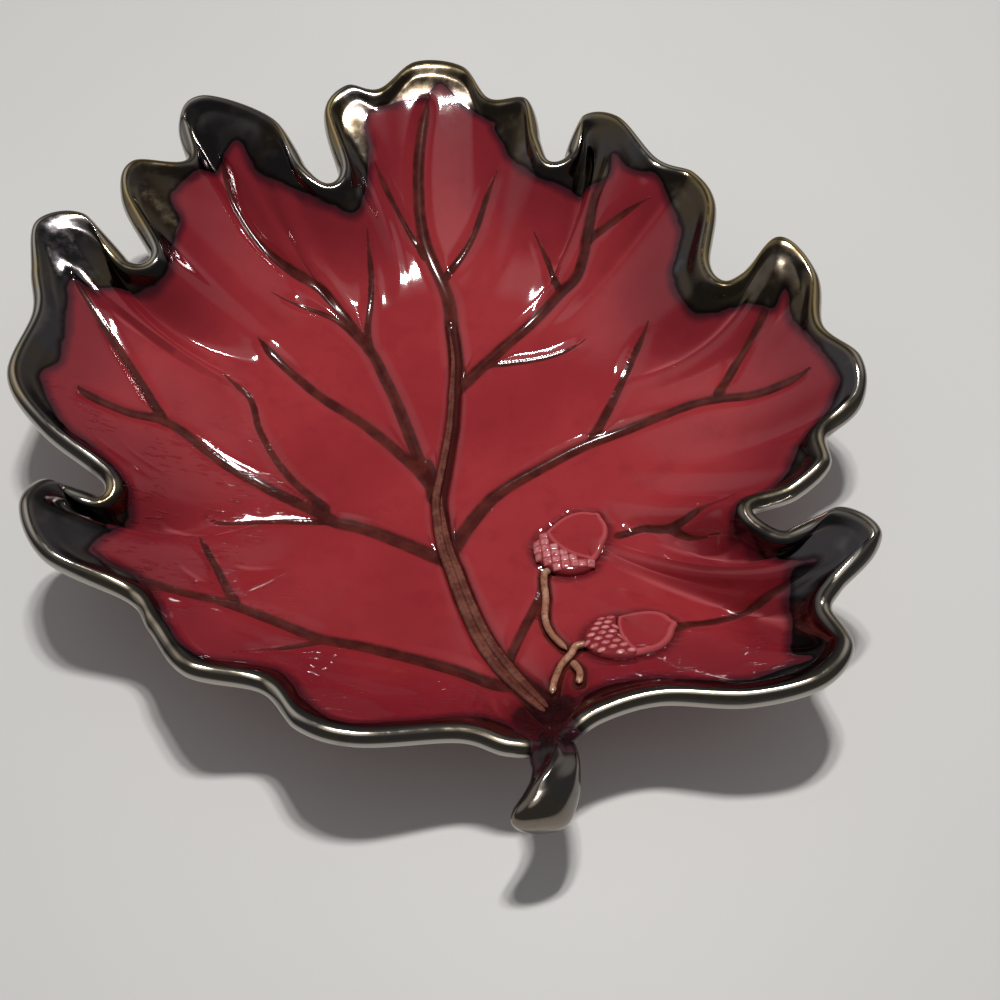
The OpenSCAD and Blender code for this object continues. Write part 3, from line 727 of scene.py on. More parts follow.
# Rings of the skin: on the floor by their count of points and radius, then the steps up the wall,
# below the band, on the band, round the lip, down the band's outside and down the back
FLOOR_RINGS = ((1, (0.0,)), (51, (1.2, 2.4, 3.6)), (153, np.linspace(4.8, 18, 12)),
               (306, np.linspace(19.1, 36, 16)), (LINES, np.linspace(37, 59, 23)))
WALL_STEPS = 30
UPPER_STEPS = 32
BAND_STEPS = 12
LIP_STEPS = 14
OUTER_STEPS = 7
BACK_STEPS = 18
UNDER_RINGS = ((BACK, 52.0), (BACK, 44.0), (68, 36.0), (68, 24.0), (68, 12.0), (1, 0.0))

# The lip is lustre all round but by the stem: the least value of paint on it
LIP_PAINT = 1.5


def stem_gap(u):
    return np.exp(-((np.asarray(u, float) - STEM_ROW) / STEM_GAP_HALF) ** 2)


def crest_turn(u):
    """The turn round the lip, from the glaze outward, at which it is highest."""
    _, up, out = wall_spot(u, np.ones(len(u)))
    return np.arctan2(out[:, 2], up[:, 2])


def inside_ring(u, t):
    """A ring on the inside of the wall, with relief, and its values."""
    mid, up, _ = wall_spot(u, t)
    row = row_at(u)
    reach = reach_of(row)
    left = (1 - t) * reach
    dip, across, tone, moat = relief(mid[:, :2])
    fade = np.clip(left / LIP_D, 0, 1)
    hollow = HOLLOW_DEEP * np.exp(-((left - HOLLOW_AT) / HOLLOW_HALF) ** 2)
    points = mid + up * (half_wall(t, reach) - dip * fade - hollow)[:, None]
    points[:, 2] -= STEM_GAP_DEEP * stem_gap(u) * (1 - np.clip(left / STEM_GAP_RUN, 0, 1)) ** 2
    return points, dict(across=across, tone=tone * fade, paint=painted(mid[:, :2]), moat=moat,
                        lip=-left - LIP_D / 2 * crest_turn(u))


def outside_ring(u, t):
    """A ring on the outside of the wall, and how far it is from the lip."""
    mid, up, _ = wall_spot(u, t)
    reach = reach_of(row_at(u))
    return mid - up * half_wall(t, reach)[:, None], (1 - t) * reach


def floor_ring(count, radius):
    u = lines_at(count) if count > 1 else np.zeros(1)
    return floor_spot(root_of(row_at(u)) * radius / FLOOR_R)


def build_skin():
    """The whole skin, and the places of the two rings at which the rim band is cut from it."""
    skin = Skin()
    for count, radii in FLOOR_RINGS:
        for radius in radii:
            mid, up = floor_ring(count, radius)
            dip, across, tone, moat = relief(mid[:, :2])
            skin.add(mid + up * (WALL / 2 - dip)[:, None],
                     dict(across=across, tone=tone, moat=moat, paint=FAR_FROM_LUSTRE, lip=FAR_INSIDE))
    u = lines_at(LINES)
    for t in np.linspace(0, FINE_FROM, WALL_STEPS + 1):
        skin.add(*inside_ring(u, np.full(LINES, t)))
    u = lines_at(FINE)
    seam = seam_at(u)
    for step in range(1, UPPER_STEPS + 1):
        skin.add(*inside_ring(u, FINE_FROM + (seam - FINE_FROM) * step / UPPER_STEPS))
    seam_in = len(skin.rings) - 1
    for step in range(1, BAND_STEPS):
        skin.add(*inside_ring(u, seam + (1 - seam) * step / BAND_STEPS))

    mid, up, out = wall_spot(u, np.ones(FINE))
    gap = stem_gap(u)
    top = crest_turn(u)
    paint = painted(mid[:, :2])
    paint = np.where(gap > 0.05, paint, np.maximum(paint, LIP_PAINT))
    for step in range(LIP_STEPS + 1):
        turn = math.pi * step / LIP_STEPS
        points = mid + LIP_ROUND / 2 * (up * math.cos(turn) + out * math.sin(turn))
        points[:, 2] -= STEM_GAP_DEEP * gap * (1 - step / LIP_STEPS)
        skin.add(points, dict(across=PLAIN, paint=paint, lip=(turn - top) * LIP_D / 2,
                              moat=stem_pool(points[:, :2])))
    # Down the outside of the band the lip value runs high, which paints a reflection of the table on it
    for step in reversed(range(OUTER_STEPS)):
        points, left = outside_ring(u, seam + (1 - seam) * step / OUTER_STEPS)
        skin.add(points, dict(across=PLAIN, paint=OUTER_LUSTRE - left,
                              lip=(math.pi - top) * LIP_D / 2 + left))
    seam_out = len(skin.rings) - 1

    u = lines_at(BACK)
    seam = seam_at(u)
    for step in reversed(range(BACK_STEPS)):
        points, left = outside_ring(u, seam * step / BACK_STEPS)
        skin.add(points, dict(across=PLAIN, paint=-OUTER_LUSTRE - left, lip=FAR_OUTSIDE))
    for count, radius in UNDER_RINGS:
        mid, up = floor_ring(count, radius)
        skin.add(mid - up * WALL / 2, dict(across=PLAIN, paint=FAR_FROM_LUSTRE, lip=FAR_OUTSIDE))
    return skin, seam_in, seam_out


def cut_piece(skin, name, groups, normals, crests):
    """A closed piece of the skin from groups of rings, with a plain wall where it was cut."""
    pairs = [(i, i + 1) for first, last in groups for i in range(first, last)]
    pairs.append((groups[0][1], groups[-1][0]))
    used, faces = np.unique(ring_faces(skin.rings, pairs), return_inverse=True)
    values = {k: skin.value(k)[used] for k in ("across", "tone", "paint", "lip", "moat")}
    return solid(name, np.concatenate(skin.rings)[used], faces.reshape(-1, 3), normals[used],
                 crest=crests[used], **values)


# Pieces that are grown by node trees

class Nodes:
    """A node tree, with short ways to add nodes and to join them."""

    def __init__(self, tree):
        self.tree = tree

    def put(self, socket, value):
        if isinstance(value, bpy.types.NodeSocket):
            self.tree.links.new(value, socket)
        else:
            socket.default_value = value

    def add(self, kind, sockets=None, **settings):
        node = self.tree.nodes.new(kind)
        for key, value in settings.items():
            setattr(node, key, value)
        for key, value in (sockets or {}).items():
            self.put(node.inputs[key], value)
        return node

    def out(self, kind, sockets=None, **settings):
        """The first output of a new node."""
        return self.add(kind, sockets, **settings).outputs[0]


class Tree(Nodes):
    """A geometry tree with named inputs."""

    def __init__(self, name):
        super().__init__(bpy.data.node_groups.new(name, "GeometryNodeTree"))
        self.keys = {}
        for way in ("INPUT", "OUTPUT"):
            self.tree.interface.new_socket("Geometry", in_out=way, socket_type="NodeSocketGeometry")
        self.start = self.add("NodeGroupInput")
        self.end = self.add("NodeGroupOutput")

    def input(self, name, kind):
        socket = self.tree.interface.new_socket(name, in_out="INPUT", socket_type="NodeSocket" + kind)
        self.keys[name] = socket.identifier
        return self.start.outputs[name]

    def named(self, name, kind):
        node = self.add("GeometryNodeInputNamedAttribute", {"Name": name}, data_type=kind)
        return node.outputs["Attribute"]

    def finish(self, geometry, look):
        smooth = self.out("GeometryNodeSetShadeSmooth", {"Geometry": geometry})
        real = self.out("GeometryNodeRealizeInstances", {"Geometry": smooth})
        dressed = self.out("GeometryNodeSetMaterial", {"Geometry": real, "Material": look})
        self.put(self.end.inputs[0], dressed)


def grown(tree, seed, name, **values):
    """The plain mesh that a tree makes of a seed, in place of the seed."""
    modifier = seed.modifiers.new(name, "NODES")
    modifier.node_group = tree.tree
    for key, value in values.items():
        modifier[tree.keys[key.replace("_", " ")]] = value
    bpy.context.view_layer.update()
    shape = seed.evaluated_get(bpy.context.evaluated_depsgraph_get())
    mesh = bpy.data.meshes.new_from_object(shape)
    seed.modifiers.remove(modifier)
    bpy.data.objects.remove(seed)
    return placed(name, mesh)


def seed_mesh(name, points, edges=(), **values):
    """Bare points or lines in metres, with values that a tree reads."""
    mesh = bpy.data.meshes.new(name)
    mesh.from_pydata([tuple(p) for p in np.asarray(points, float) * MM], edges, [])
    keep_values(mesh, values)
    return placed(name, mesh)


def ridge_tree():
    """A ridge along each line: its section turned to the surface and scaled by the line's reach."""
    tree = Tree("ridge_along_a_line")
    sides = tree.input("Sides", "Int")
    flat = tree.input("Flatness", "Float")
    knots = tree.input("Knots", "Float")
    knot_scale = tree.input("Knot scale", "Float")
    look = tree.input("Look", "Material")
    line = tree.out("GeometryNodeMeshToCurve", {"Mesh": tree.start.outputs["Geometry"]})
    line = tree.out("GeometryNodeSetCurveNormal",
                    {"Curve": line, "Normal": tree.named("up", "FLOAT_VECTOR")}, mode="FREE")
    circle = tree.out("GeometryNodeCurvePrimitiveCircle", {"Resolution": sides, "Radius": 1.0})
    press = tree.out("ShaderNodeCombineXYZ", {"X": flat, "Y": 1.0, "Z": 1.0})
    section = tree.out("GeometryNodeTransform", {"Geometry": circle, "Scale": press})
    tube = tree.out("GeometryNodeCurveToMesh", {"Curve": line, "Profile Curve": section,
                                                "Scale": tree.named("reach", "FLOAT"),
                                                "Fill Caps": True})
    grain = tree.add("ShaderNodeTexNoise", {"Scale": knot_scale, "Detail": 2.0}).outputs["Fac"]
    level = tree.out("ShaderNodeMath", {0: grain, 1: 0.5}, operation="SUBTRACT")
    push = tree.out("ShaderNodeMath", {0: level, 1: knots}, operation="MULTIPLY")
    away = tree.out("GeometryNodeInputNormal")
    shift = tree.out("ShaderNodeVectorMath", {0: away, "Scale": push}, operation="SCALE")
    tree.finish(tree.out("GeometryNodeSetPosition", {"Geometry": tube, "Offset": shift}), look)
    return tree


def scale_tree():
    """The scales of an acorn's cup, one on each place, joined to the cup under them."""
    tree = Tree("scales_on_a_cup")
    places = tree.input("Places", "Object")
    scale = tree.input("Scale", "Object")
    look = tree.input("Look", "Material")
    where = tree.add("GeometryNodeObjectInfo", {"Object": places}).outputs["Geometry"]
    shape = tree.add("GeometryNodeObjectInfo", {"Object": scale}).outputs["Geometry"]
    turn = tree.out("FunctionNodeAxesToRotation", {0: tree.named("up", "FLOAT_VECTOR"),
                                                   1: tree.named("along", "FLOAT_VECTOR")},
                    primary_axis="Z", secondary_axis="X")
    rows = tree.out("GeometryNodeInstanceOnPoints", {"Points": where, "Instance": shape,
                                                     "Rotation": turn,
                                                     "Scale": tree.named("grow", "FLOAT_VECTOR")})
    rows = tree.out("GeometryNodeRealizeInstances", {"Geometry": rows})
    both = tree.add("GeometryNodeJoinGeometry")
    tree.put(both.inputs[0], rows)
    tree.put(both.inputs[0], tree.start.outputs["Geometry"])
    tree.finish(both.outputs[0], look)
    return tree


def ridge_seed(name, lines):
    """Lines over the glaze for the ridge tree. Each has its plan, heights and reaches in millimetres."""
    points, edges, ups, reaches = [], [], [], []
    for plan, height, reach in lines:
        spots, up = seat(plan, height)
        first = sum(len(p) for p in points)
        points.append(spots)
        ups.append(up)
        reaches.append(np.asarray(reach) * MM)
        edges += [(first + i, first + i + 1) for i in range(len(spots) - 1)]
    return seed_mesh(name, np.concatenate(points), edges, up=np.concatenate(ups),
                     reach=np.concatenate(reaches))


def beside(line, off):
    """The line beside another, so far to the right of its run."""
    run = unit(np.gradient(line, axis=0))
    return line + np.stack([run[:, 1], -run[:, 0]], -1) * np.asarray(off)[:, None]


def tapered(count, start, end, nose=0.06):
    """Reaches along a line from start to end, rounded off at both ends."""
    way = np.linspace(0, 1, count)
    cap = np.sqrt(np.clip(np.minimum(way, 1 - way) / nose, 0.004, 1))
    return (start + (end - start) * way) * cap, way


# The outlines of a nut and a cup from the side: share of the way out from the core, and height
NUT_PROFILE = ((1.0, 0.35), (0.98, 0.62), (0.955, 0.82), (0.92, 0.95), (0.88, 1.0), (0.82, 0.98),
               (0.7, 0.9), (0.5, 0.86), (0.25, 0.86), (0.0, 0.86))
CUP_PROFILE = ((1.0, 0.2), (0.985, 0.4), (0.95, 0.6), (0.88, 0.78), (0.78, 0.9), (0.62, 0.98),
               (0.4, 1.02), (0.2, 1.03), (0.0, 1.03))
DOME_CORE = 0.4
DOME_FOOT = -1.2
DOME_SHARES = (1.0, 0.985, 0.965, 0.94, 0.91, 0.88, 0.84, 0.79, 0.7, 0.6, 0.48, 0.36, 0.24, 0.12)


class Dome:
    """An acorn's nut or cup on the glaze, as heights over its outline in plan."""

    def __init__(self, acorn, part, profile, high):
        self.acorn, self.part, self.high = acorn, part, high
        self.outline = acorn_outline(acorn, part)
        self.core = np.array([acorn[part][0] * DOME_CORE, 0.0])
        self.shares, self.heights = np.array(profile)[::-1].T
        arm = self.outline - self.core
        bearing = np.arctan2(arm[:, 1], arm[:, 0])
        order = np.argsort(bearing)
        self.bearings = bearing[order]
        self.arms = np.linalg.norm(arm, axis=-1)[order]

    def share(self, local):
        arm = local - self.core
        edge = np.interp(np.arctan2(arm[:, 1], arm[:, 0]), self.bearings, self.arms, period=2 * math.pi)
        return np.linalg.norm(arm, axis=-1) / edge

    def surface(self, local, lift=0.0):
        height = self.high * np.interp(self.share(local), self.shares, self.heights) + lift
        return seat(acorn_plan(self.acorn, self.part, local), height)[0]

    def frame(self, local, lift, nudge=0.25):
        """Points over the dome, with the directions up off it and along its length."""
        spots = self.surface(local, lift)
        step_a, step_b = np.array([nudge, 0.0]), np.array([0.0, nudge])
        a = self.surface(local + step_a) - self.surface(local - step_a)
        b = self.surface(local + step_b) - self.surface(local - step_b)
        up = unit(np.cross(a, b))
        up *= np.sign(up[:, 2:])
        return spots, up, unit(a)

    def build(self, name, crest=None):
        """The dome as a closed mesh, with the bend of its skin or one given value as its crest."""
        rings = [self.surface(self.core + (self.outline - self.core) * s) for s in DOME_SHARES]
        foot = seat(acorn_plan(self.acorn, self.part, self.outline), DOME_FOOT)[0]
        rings = [foot.mean(0)[None], foot] + rings + [self.surface(self.core[None])]
        points, faces = np.concatenate(rings), ring_faces(rings)
        normals = point_normals(points, faces)
        if (normals[-1] * (points[-1] - points[0])).sum() < 0:
            faces, normals = faces[:, ::-1], -normals
        if crest is None:
            crest = crest_values(points, faces, normals)
        return solid(name, points, faces, normals, across=PLAIN, tone=0.0, paint=FAR_FROM_LUSTRE,
                     lip=FAR_INSIDE, moat=0.0, crest=crest)


# One scale of a cup, from its top ring to its foot: reach and rise. Then the crest value of the
# cup under the scales
SCALE_PROFILE = ((0.5, 0.9), (0.86, 0.55), (1.0, 0.0), (0.8, -0.8))
SCALE_SIDES = 12
SCALE_SQUARE = 1.12
SCALE_HIGH = 0.65
UNDER_SCALES = -0.15

# The scales on each cup: spacing along and across it, shift of every other row, half sizes, how
# square they are, and how far they sit above it. They start behind the line where nut meets cup,
# and the outer share of the cup has none
UPPER_SCALES = dict(pitch=(4.1, 2.05), shift=2.05, half=(2.1, 2.05), corner=0.8, lift=-0.4)
LOWER_SCALES = dict(pitch=(3.5, 2.5), shift=1.75, half=(1.75, 1.15), corner=0.0, lift=-0.35)
SCALED_SHARE = 0.93
FIRST_SCALE = -2.5
FIRST_ROW = 0.6


def scale_shape(corner):
    """One scale: a low pillow, square on its corner where corner is 1 and round where it is 0."""
    turns = np.arange(SCALE_SIDES) * 2 * math.pi / SCALE_SIDES
    square = SCALE_SQUARE / (np.abs(np.cos(turns)) + np.abs(np.sin(turns)))
    edge = 1 + (square - 1) * corner
    rings = [np.stack([np.cos(turns) * edge * reach, np.sin(turns) * edge * reach,
                       np.full(SCALE_SIDES, rise)], -1) for reach, rise in SCALE_PROFILE]
    rings = [np.array([[0, 0, 1.0]])] + rings + [np.array([[0, 0, SCALE_PROFILE[-1][1]]])]
    points, faces = np.concatenate(rings), ring_faces(rings)
    if point_normals(points, faces)[0, 2] < 0:
        faces = faces[:, ::-1]
    return solid("scale", points / MM, faces, crest=np.clip(points[:, 2], -0.4, 1.0))


def scale_places(cup, pitch, shift):
    """Staggered places in straight rows along a cup's length."""
    length, width, _ = cup.acorn[cup.part]
    rows = np.arange(-width / 2 + pitch[1] * FIRST_ROW, width / 2, pitch[1])
    local = np.array([(ahead, across) for j, across in enumerate(rows)
                      for ahead in np.arange(FIRST_SCALE + shift * (j % 2), length, pitch[0])])
    return local[cup.share(local) < SCALED_SHARE]


def scaled_cup(cup, name, pitch, shift, half, corner, lift):
    local = scale_places(cup, pitch, shift)
    spots, up, along = cup.frame(local, lift)
    places = seed_mesh(name + "_places", spots, up=up, along=along,
                       grow=np.tile((*half, SCALE_HIGH), (len(local), 1)) * MM)
    pillow = scale_shape(corner)
    piece = grown(SCALES, cup.build(name + "_body", crest=UNDER_SCALES), name, Places=places,
                  Scale=pillow, Look=CUP_GLAZE)
    bpy.data.objects.remove(places)
    bpy.data.objects.remove(pillow)
    return piece


# The stem, lofted from inside the lip to its cut end. The columns are: way along its length,
# width, height, turn of the section in degrees, sideways sway and rise, as shares
STEM_LEN = 21.5
STEM_W = 20.5
STEM_H = 13.5
STEM_DROP = 2.5
SEAT_GAP = 0.3
STEM_RINGS = (
    (-.50, .05, .05, 0, .02, -.34), (-.46, .28, .20, 0, .02, -.33), (-.34, .48, .38, 0, .02, -.24),
    (-.18, .62, .54, 0, .01, -.10), (-.04, .70, .62, 0, 0, -.01), (.08, .72, .68, 0, 0, .04),
    (.22, .71, .78, 6, 0, .10), (.40, .76, .86, 12, -.05, .12), (.58, .87, .93, 18, -.14, .09),
    (.74, .97, 1.0, 23, -.25, .05), (.86, .96, .96, 26, -.31, .01), (.94, .83, .82, 28, -.33, -.03),
    (.985, .60, .57, 28, -.33, -.05), (1.003, .32, .30, 28, -.33, -.06),
    (1.006, .04, .04, 28, -.33, -.06),
)
STEM_STEPS = 5
STEM_SIDES = 96

# The ridge turns from the first bearing by the second, over a share of the stem. The folds beside
# it: turn from the ridge, half width in degrees, height, and where and over what share they end
RIDGE_TURN = (84.0, 52.0, 0.6)
STEM_FOLDS = ((0, 17, 0.10, 0.42, 0.30), (38, 24, -0.17, 0.15, 0.35), (-36, 22, -0.10, 0.20, 0.40))
STEM_SWELL = 0.015

# How far the glaze runs up the stem: everywhere, further in the fold, and less on the ridge
STEM_GLAZE = 0.06
FOLD_GLAZE = (0.30, 38, 30)
RIDGE_GLAZE = (0.22, 9)

# The lip value on the stem's top and sides, and how much it grows underneath, where it gives the stem a
# painted reflection of the table; and its thick glaze
STEM_LIP = 1.8
STEM_UNDER_REFLECTION = 2.4
STEM_MOAT = 1.9


def stem():
    """The stem, whose glazed root lies under the lip and whose painted part stands past it."""
    lip = wall_spot(np.array([STEM_ROW]), np.array([1.0]))[0][0]
    turns = np.arange(STEM_SIDES) * 360 / STEM_SIDES
    a = np.radians(turns)
    rings, paints = [], []
    for way, wide, tall, turn, sway, rise in spline(STEM_RINGS, STEM_STEPS):
        ridge_at = RIDGE_TURN[0] + RIDGE_TURN[1] * ease(way / RIDGE_TURN[2])
        off = (turns - ridge_at + 180) % 360 - 180
        start = ease((way + 0.45) / 0.3)
        r = 1 + STEM_SWELL * np.sin(np.radians(2 * turns + 200 * way)) * ease(way / 0.5)
        for fold, half, high, end, over in STEM_FOLDS:
            r = r + high * (1 - ease((way - end) / over)) * start * np.exp(-((off - fold) / half) ** 2)
        x = np.cos(a) * r * max(wide, 0.03) * STEM_W / 2
        z = np.sin(a) * r * max(tall, 0.03) * STEM_H / 2
        lean = math.radians(turn)
        rings.append(np.stack([lip[0] + sway * STEM_W + x * math.cos(lean) + z * math.sin(lean),
                               lip[1] - LIP_D / 2 - SEAT_GAP - STEM_LEN * way + 0 * x,
                               lip[2] + rise * STEM_H - STEM_DROP * way + z * math.cos(lean)
                               - x * math.sin(lean)], -1))
        edge = (STEM_GLAZE + FOLD_GLAZE[0] * np.exp(-((off - FOLD_GLAZE[1]) / FOLD_GLAZE[2]) ** 2)
                - RIDGE_GLAZE[0] * np.exp(-(off / RIDGE_GLAZE[1]) ** 2))
        paints.append(STEM_LEN * (way - edge))
    # The lip value grows on the underside, which paints a reflection of the table there
    lips = [STEM_LIP + STEM_UNDER_REFLECTION * ease((-0.15 - np.sin(a)) / 0.35)] * len(rings)

    def with_ends(rows):
        return np.concatenate([rows[0][:1]] + rows + [rows[-1][:1]])
    rings = [rings[0].mean(0)[None]] + rings + [rings[-1].mean(0)[None]]
    points, faces = np.concatenate(rings), ring_faces(rings)
    normals = point_normals(points, faces)
    if ((points - points.mean(0)) * normals).sum() < 0:
        faces, normals = faces[:, ::-1], -normals
    return solid("stem_cut_and_folded", points, faces, normals, across=PLAIN, tone=0.0, crest=0.0,
                 moat=STEM_MOAT, lip=with_ends(lips), paint=with_ends(paints))


# Finishes. Distances in the patterns are in metres, as object coordinates are

class Look(Nodes):
    """A finish, with short ways to add the nodes of its pattern."""

    def __init__(self, name):
        self.material = bpy.data.materials.new(name)
        self.material.use_nodes = True
        super().__init__(self.material.node_tree)
        self.shader = self.tree.nodes["Principled BSDF"]
        self.place = self.add("ShaderNodeTexCoord").outputs["Object"]
        split = self.add("ShaderNodeSeparateXYZ", {0: self.place})
        self.x, self.y = split.outputs["X"], split.outputs["Y"]

    def set(self, **sockets):
        for name, value in sockets.items():
            self.put(self.shader.inputs[name.replace("_", " ")], value)

    def value(self, name):
        return self.add("ShaderNodeAttribute", attribute_name=name).outputs["Fac"]

    def math(self, operation, a, b):
        return self.out("ShaderNodeMath", {0: a, 1: b}, operation=operation)

    def plus(self, a, b):
        return self.math("ADD", a, b)

    def times(self, a, b):
        return self.math("MULTIPLY", a, b)

    def step(self, value, low, high, to=(0.0, 1.0)):
        """A soft step of a value from low to high."""
        if low > high:
            low, high, to = high, low, to[::-1]
        return self.out("ShaderNodeMapRange", {"Value": value, "From Min": low, "From Max": high,
                                               "To Min": to[0], "To Max": to[1]},
                        interpolation_type="SMOOTHSTEP")

    def mix(self, share, a, b):
        return self.add("ShaderNodeMix", {"Factor": share, 6: a, 7: b}, data_type="RGBA").outputs[2]

    def cover(self, tone, share, amount, colour):
        """A tone with that amount of a colour laid over it where share is 1."""
        return self.mix(self.times(share, amount), tone, colour)

    def noise(self, scale, detail=2.0, roughness=0.5, stretch=None, turn=0.0):
        where = self.place
        if stretch:
            where = self.out("ShaderNodeMapping", {"Vector": where, "Scale": stretch,
                                                   "Rotation": (0, 0, math.radians(turn))})
        node = self.add("ShaderNodeTexNoise", {"Vector": where, "Scale": scale, "Detail": detail,
                                               "Roughness": roughness})
        return node.outputs["Fac"]

    def bump(self, height, distance, strength, under=None):
        sockets = {"Strength": strength, "Distance": distance, "Height": height}
        if under is not None:
            sockets["Normal"] = under
        return self.out("ShaderNodeBump", sockets)


def lustre_tone(look, edge, lip, crest):
    """Gunmetal going to bronze in blotches, dark by the glaze, with a painted highlight along the crest
    of the lip, a painted reflection of the table under it, and raised crests lighter, partly from wear
    and partly as a painted highlight.
    """
    cloud = look.noise(28, 3, 0.55)
    fleck = look.noise(260, 3, 0.6)
    blotch = look.noise(75, 2, 0.45)
    bronze = look.times(look.step(cloud, 0.38, 0.56), look.step(look.y, -0.09, -0.02, (0.3, 1.0)))
    tone = look.mix(bronze, srgb("#827C78"), srgb("#8C7B5C"))
    tone = look.cover(tone, look.step(fleck, 0.55, 0.75), 0.45, srgb("#5F5A55"))
    inner = look.times(look.step(edge, 60.0, 14.0), look.step(lip, -0.8, -2.8))
    tone = look.cover(tone, inner, 0.85, look.mix(bronze, srgb("#434045"), srgb("#4A4138")))
    tone = look.cover(tone, look.times(look.step(blotch, 0.54, 0.68), inner), 0.3, srgb("#8D8780"))
    # A painted highlight: a pale cream line along the crest of the lip
    crest_highlight = look.times(look.step(lip, -0.5, 0.1), look.step(lip, 1.2, 0.5))
    tone = look.cover(tone, crest_highlight, 0.75, look.mix(bronze, srgb("#DCD3C4"), srgb("#E2C68E")))
    # A painted reflection of the lit table: light grey under the lip, down the outside of the band and
    # under the stem
    tone = look.cover(tone, look.step(lip, 2.0, 3.4), 0.75, srgb("#BDB8B1"))
    # Raised crests inside the band are lighter: partly wear, partly a painted highlight
    worn_and_highlit_crest = look.times(look.step(crest, 0.03, 0.12), look.step(lip, -2.5, -4.0))
    tone = look.cover(tone, worn_and_highlit_crest, 0.25, srgb("#A89A80"))
    tone = look.cover(tone, look.step(edge, 2.2, 0.4), 0.8, srgb("#301D26"))
    rough = look.plus(look.step(fleck, 0.35, 0.7, (0.07, 0.14)),
                      look.step(cloud, 0.3, 0.7, (0.0, 0.05)))
    return tone, rough


def scuffs(look):
    """Fine scratches and pinched wrinkles in the glaze of the lower left wall and by the near lip."""
    left = look.times(look.step(look.x, -0.045, -0.085), look.step(look.y, 0.03, -0.02))
    near = look.step(look.y, -0.105, -0.118)
    streaks = look.noise(150, 3, 0.6, stretch=(1.0, 5.0, 1.0), turn=32)
    patches = look.step(look.noise(60, 2, 0.5), 0.42, 0.6)
    return look.times(look.times(look.step(streaks, 0.55, 0.68), patches),
                      look.math("MAXIMUM", left, near))


def fired_glaze():
    """Crimson glaze over stained veins, going over to lustre at the painted edge."""
    look = Look("fired_glaze")
    across = look.value("across")
    tone = look.value("tone")
    lip = look.value("lip")
    crest = look.value("crest")
    moat = look.value("moat")
    cloud = look.noise(16, 3, 0.5)
    mottle = look.noise(120, 3, 0.6)
    grain = look.noise(900, 2, 0.5)
    wander = look.times(look.plus(look.noise(150, 2, 0.4), -0.5), 2.4)
    edge = look.plus(look.value("paint"), wander)

    crimson = look.mix(look.step(cloud, 0.35, 0.65), srgb("#89252B"), srgb("#972E33"))
    crimson = look.cover(crimson, look.step(mottle, 0.45, 0.75), 0.3, srgb("#7C1C23"))
    crimson = look.cover(crimson, look.step(edge, -34.0, -3.0), 0.75, srgb("#691420"))
    # Pink on convex edges: the glaze running thin there, and partly a painted sheen
    pale = look.plus(look.step(crest, 0.02, 0.11, (0.0, 0.42)), look.step(crest, 0.12, 0.5, (0.0, 0.25)))
    crimson = look.mix(pale, crimson, srgb("#B95A5E"))
    pooled = look.plus(look.step(crest, -0.03, -0.25, (0.0, 0.5)), look.times(moat, 0.7))
    crimson = look.mix(look.math("MINIMUM", pooled, 0.94), crimson, srgb("#430B10"))
    crimson = look.mix(look.step(moat, 1.0, 1.7, (0.0, 0.95)), crimson, srgb("#140406"))
    stain = look.mix(look.step(mottle, 0.35, 0.65), srgb("#2A0F0B"), srgb("#4A1E16"))
    thin = look.mix(look.step(tone, 0.15, 0.5), srgb("#54191A"), stain)
    thin = look.cover(thin, look.step(tone, 0.85, 1.2), 0.75, srgb("#1E0C0B"))
    ragged = look.plus(across, look.times(look.plus(mottle, -0.5), 0.3))
    in_vein = look.times(look.step(ragged, 1.3, 0.75), look.step(tone, 0.05, 0.3, (0.0, 0.92)))
    glaze = look.mix(in_vein, crimson, thin)
    glaze = look.mix(look.step(moat, 1.0, 1.5, (0.0, 0.9)), glaze, srgb("#190508"))
    glaze = look.cover(glaze, look.step(edge, -3.6, -0.4), 0.85, srgb("#340A16"))

    lustre, lustre_rough = lustre_tone(look, edge, lip, crest)
    metal = look.step(edge, -0.5, 0.5)
    look.set(Base_Color=look.mix(metal, glaze, lustre), Metallic=metal)
    glossy = look.plus(look.step(mottle, 0.3, 0.8, (0.035, 0.08)), look.times(in_vein, 0.07))
    rough = look.out("ShaderNodeMix", {"Factor": metal, 2: glossy, 3: lustre_rough},
                     data_type="FLOAT")
    look.set(Roughness=rough, Specular_IOR_Level=look.step(in_vein, 0.0, 1.0, (0.55, 0.3)))
    waves = look.plus(look.noise(45, 2, 0.5), look.times(grain, 0.02))
    normal = look.bump(waves, 0.0006, 0.4)
    cut = look.times(look.step(across, 1.2, 0.7), look.step(tone, 0.0, 0.3))
    normal = look.bump(look.plus(look.times(cut, -0.5), look.times(metal, 0.2)), 0.0003, 0.5, normal)
    normal = look.bump(look.times(scuffs(look), look.step(edge, 0.0, -1.5)), 0.0005, 0.7, normal)
    look.set(Normal=normal)
    return look.material


def cup_glaze():
    """Pink where the glaze runs thin over the scales, palest on their tops partly as a painted
    highlight, dark red where it pools between them.
    """
    look = Look("cup_glaze")
    crest = look.value("crest")
    mottle = look.noise(420, 3, 0.6)
    tone = look.mix(look.step(crest, -0.3, 0.4), srgb("#741C22"), srgb("#A3464A"))
    # The palest pink on the scales' tops: thin glaze, and partly a painted highlight
    tone = look.cover(tone, look.step(crest, 0.45, 1.0), look.step(mottle, 0.3, 0.65),
                      srgb("#C98586"))
    look.set(Base_Color=tone, Roughness=look.step(mottle, 0.3, 0.8, (0.05, 0.11)),
             Specular_IOR_Level=0.55, Normal=look.bump(mottle, 0.00015, 0.4))
    return look.material


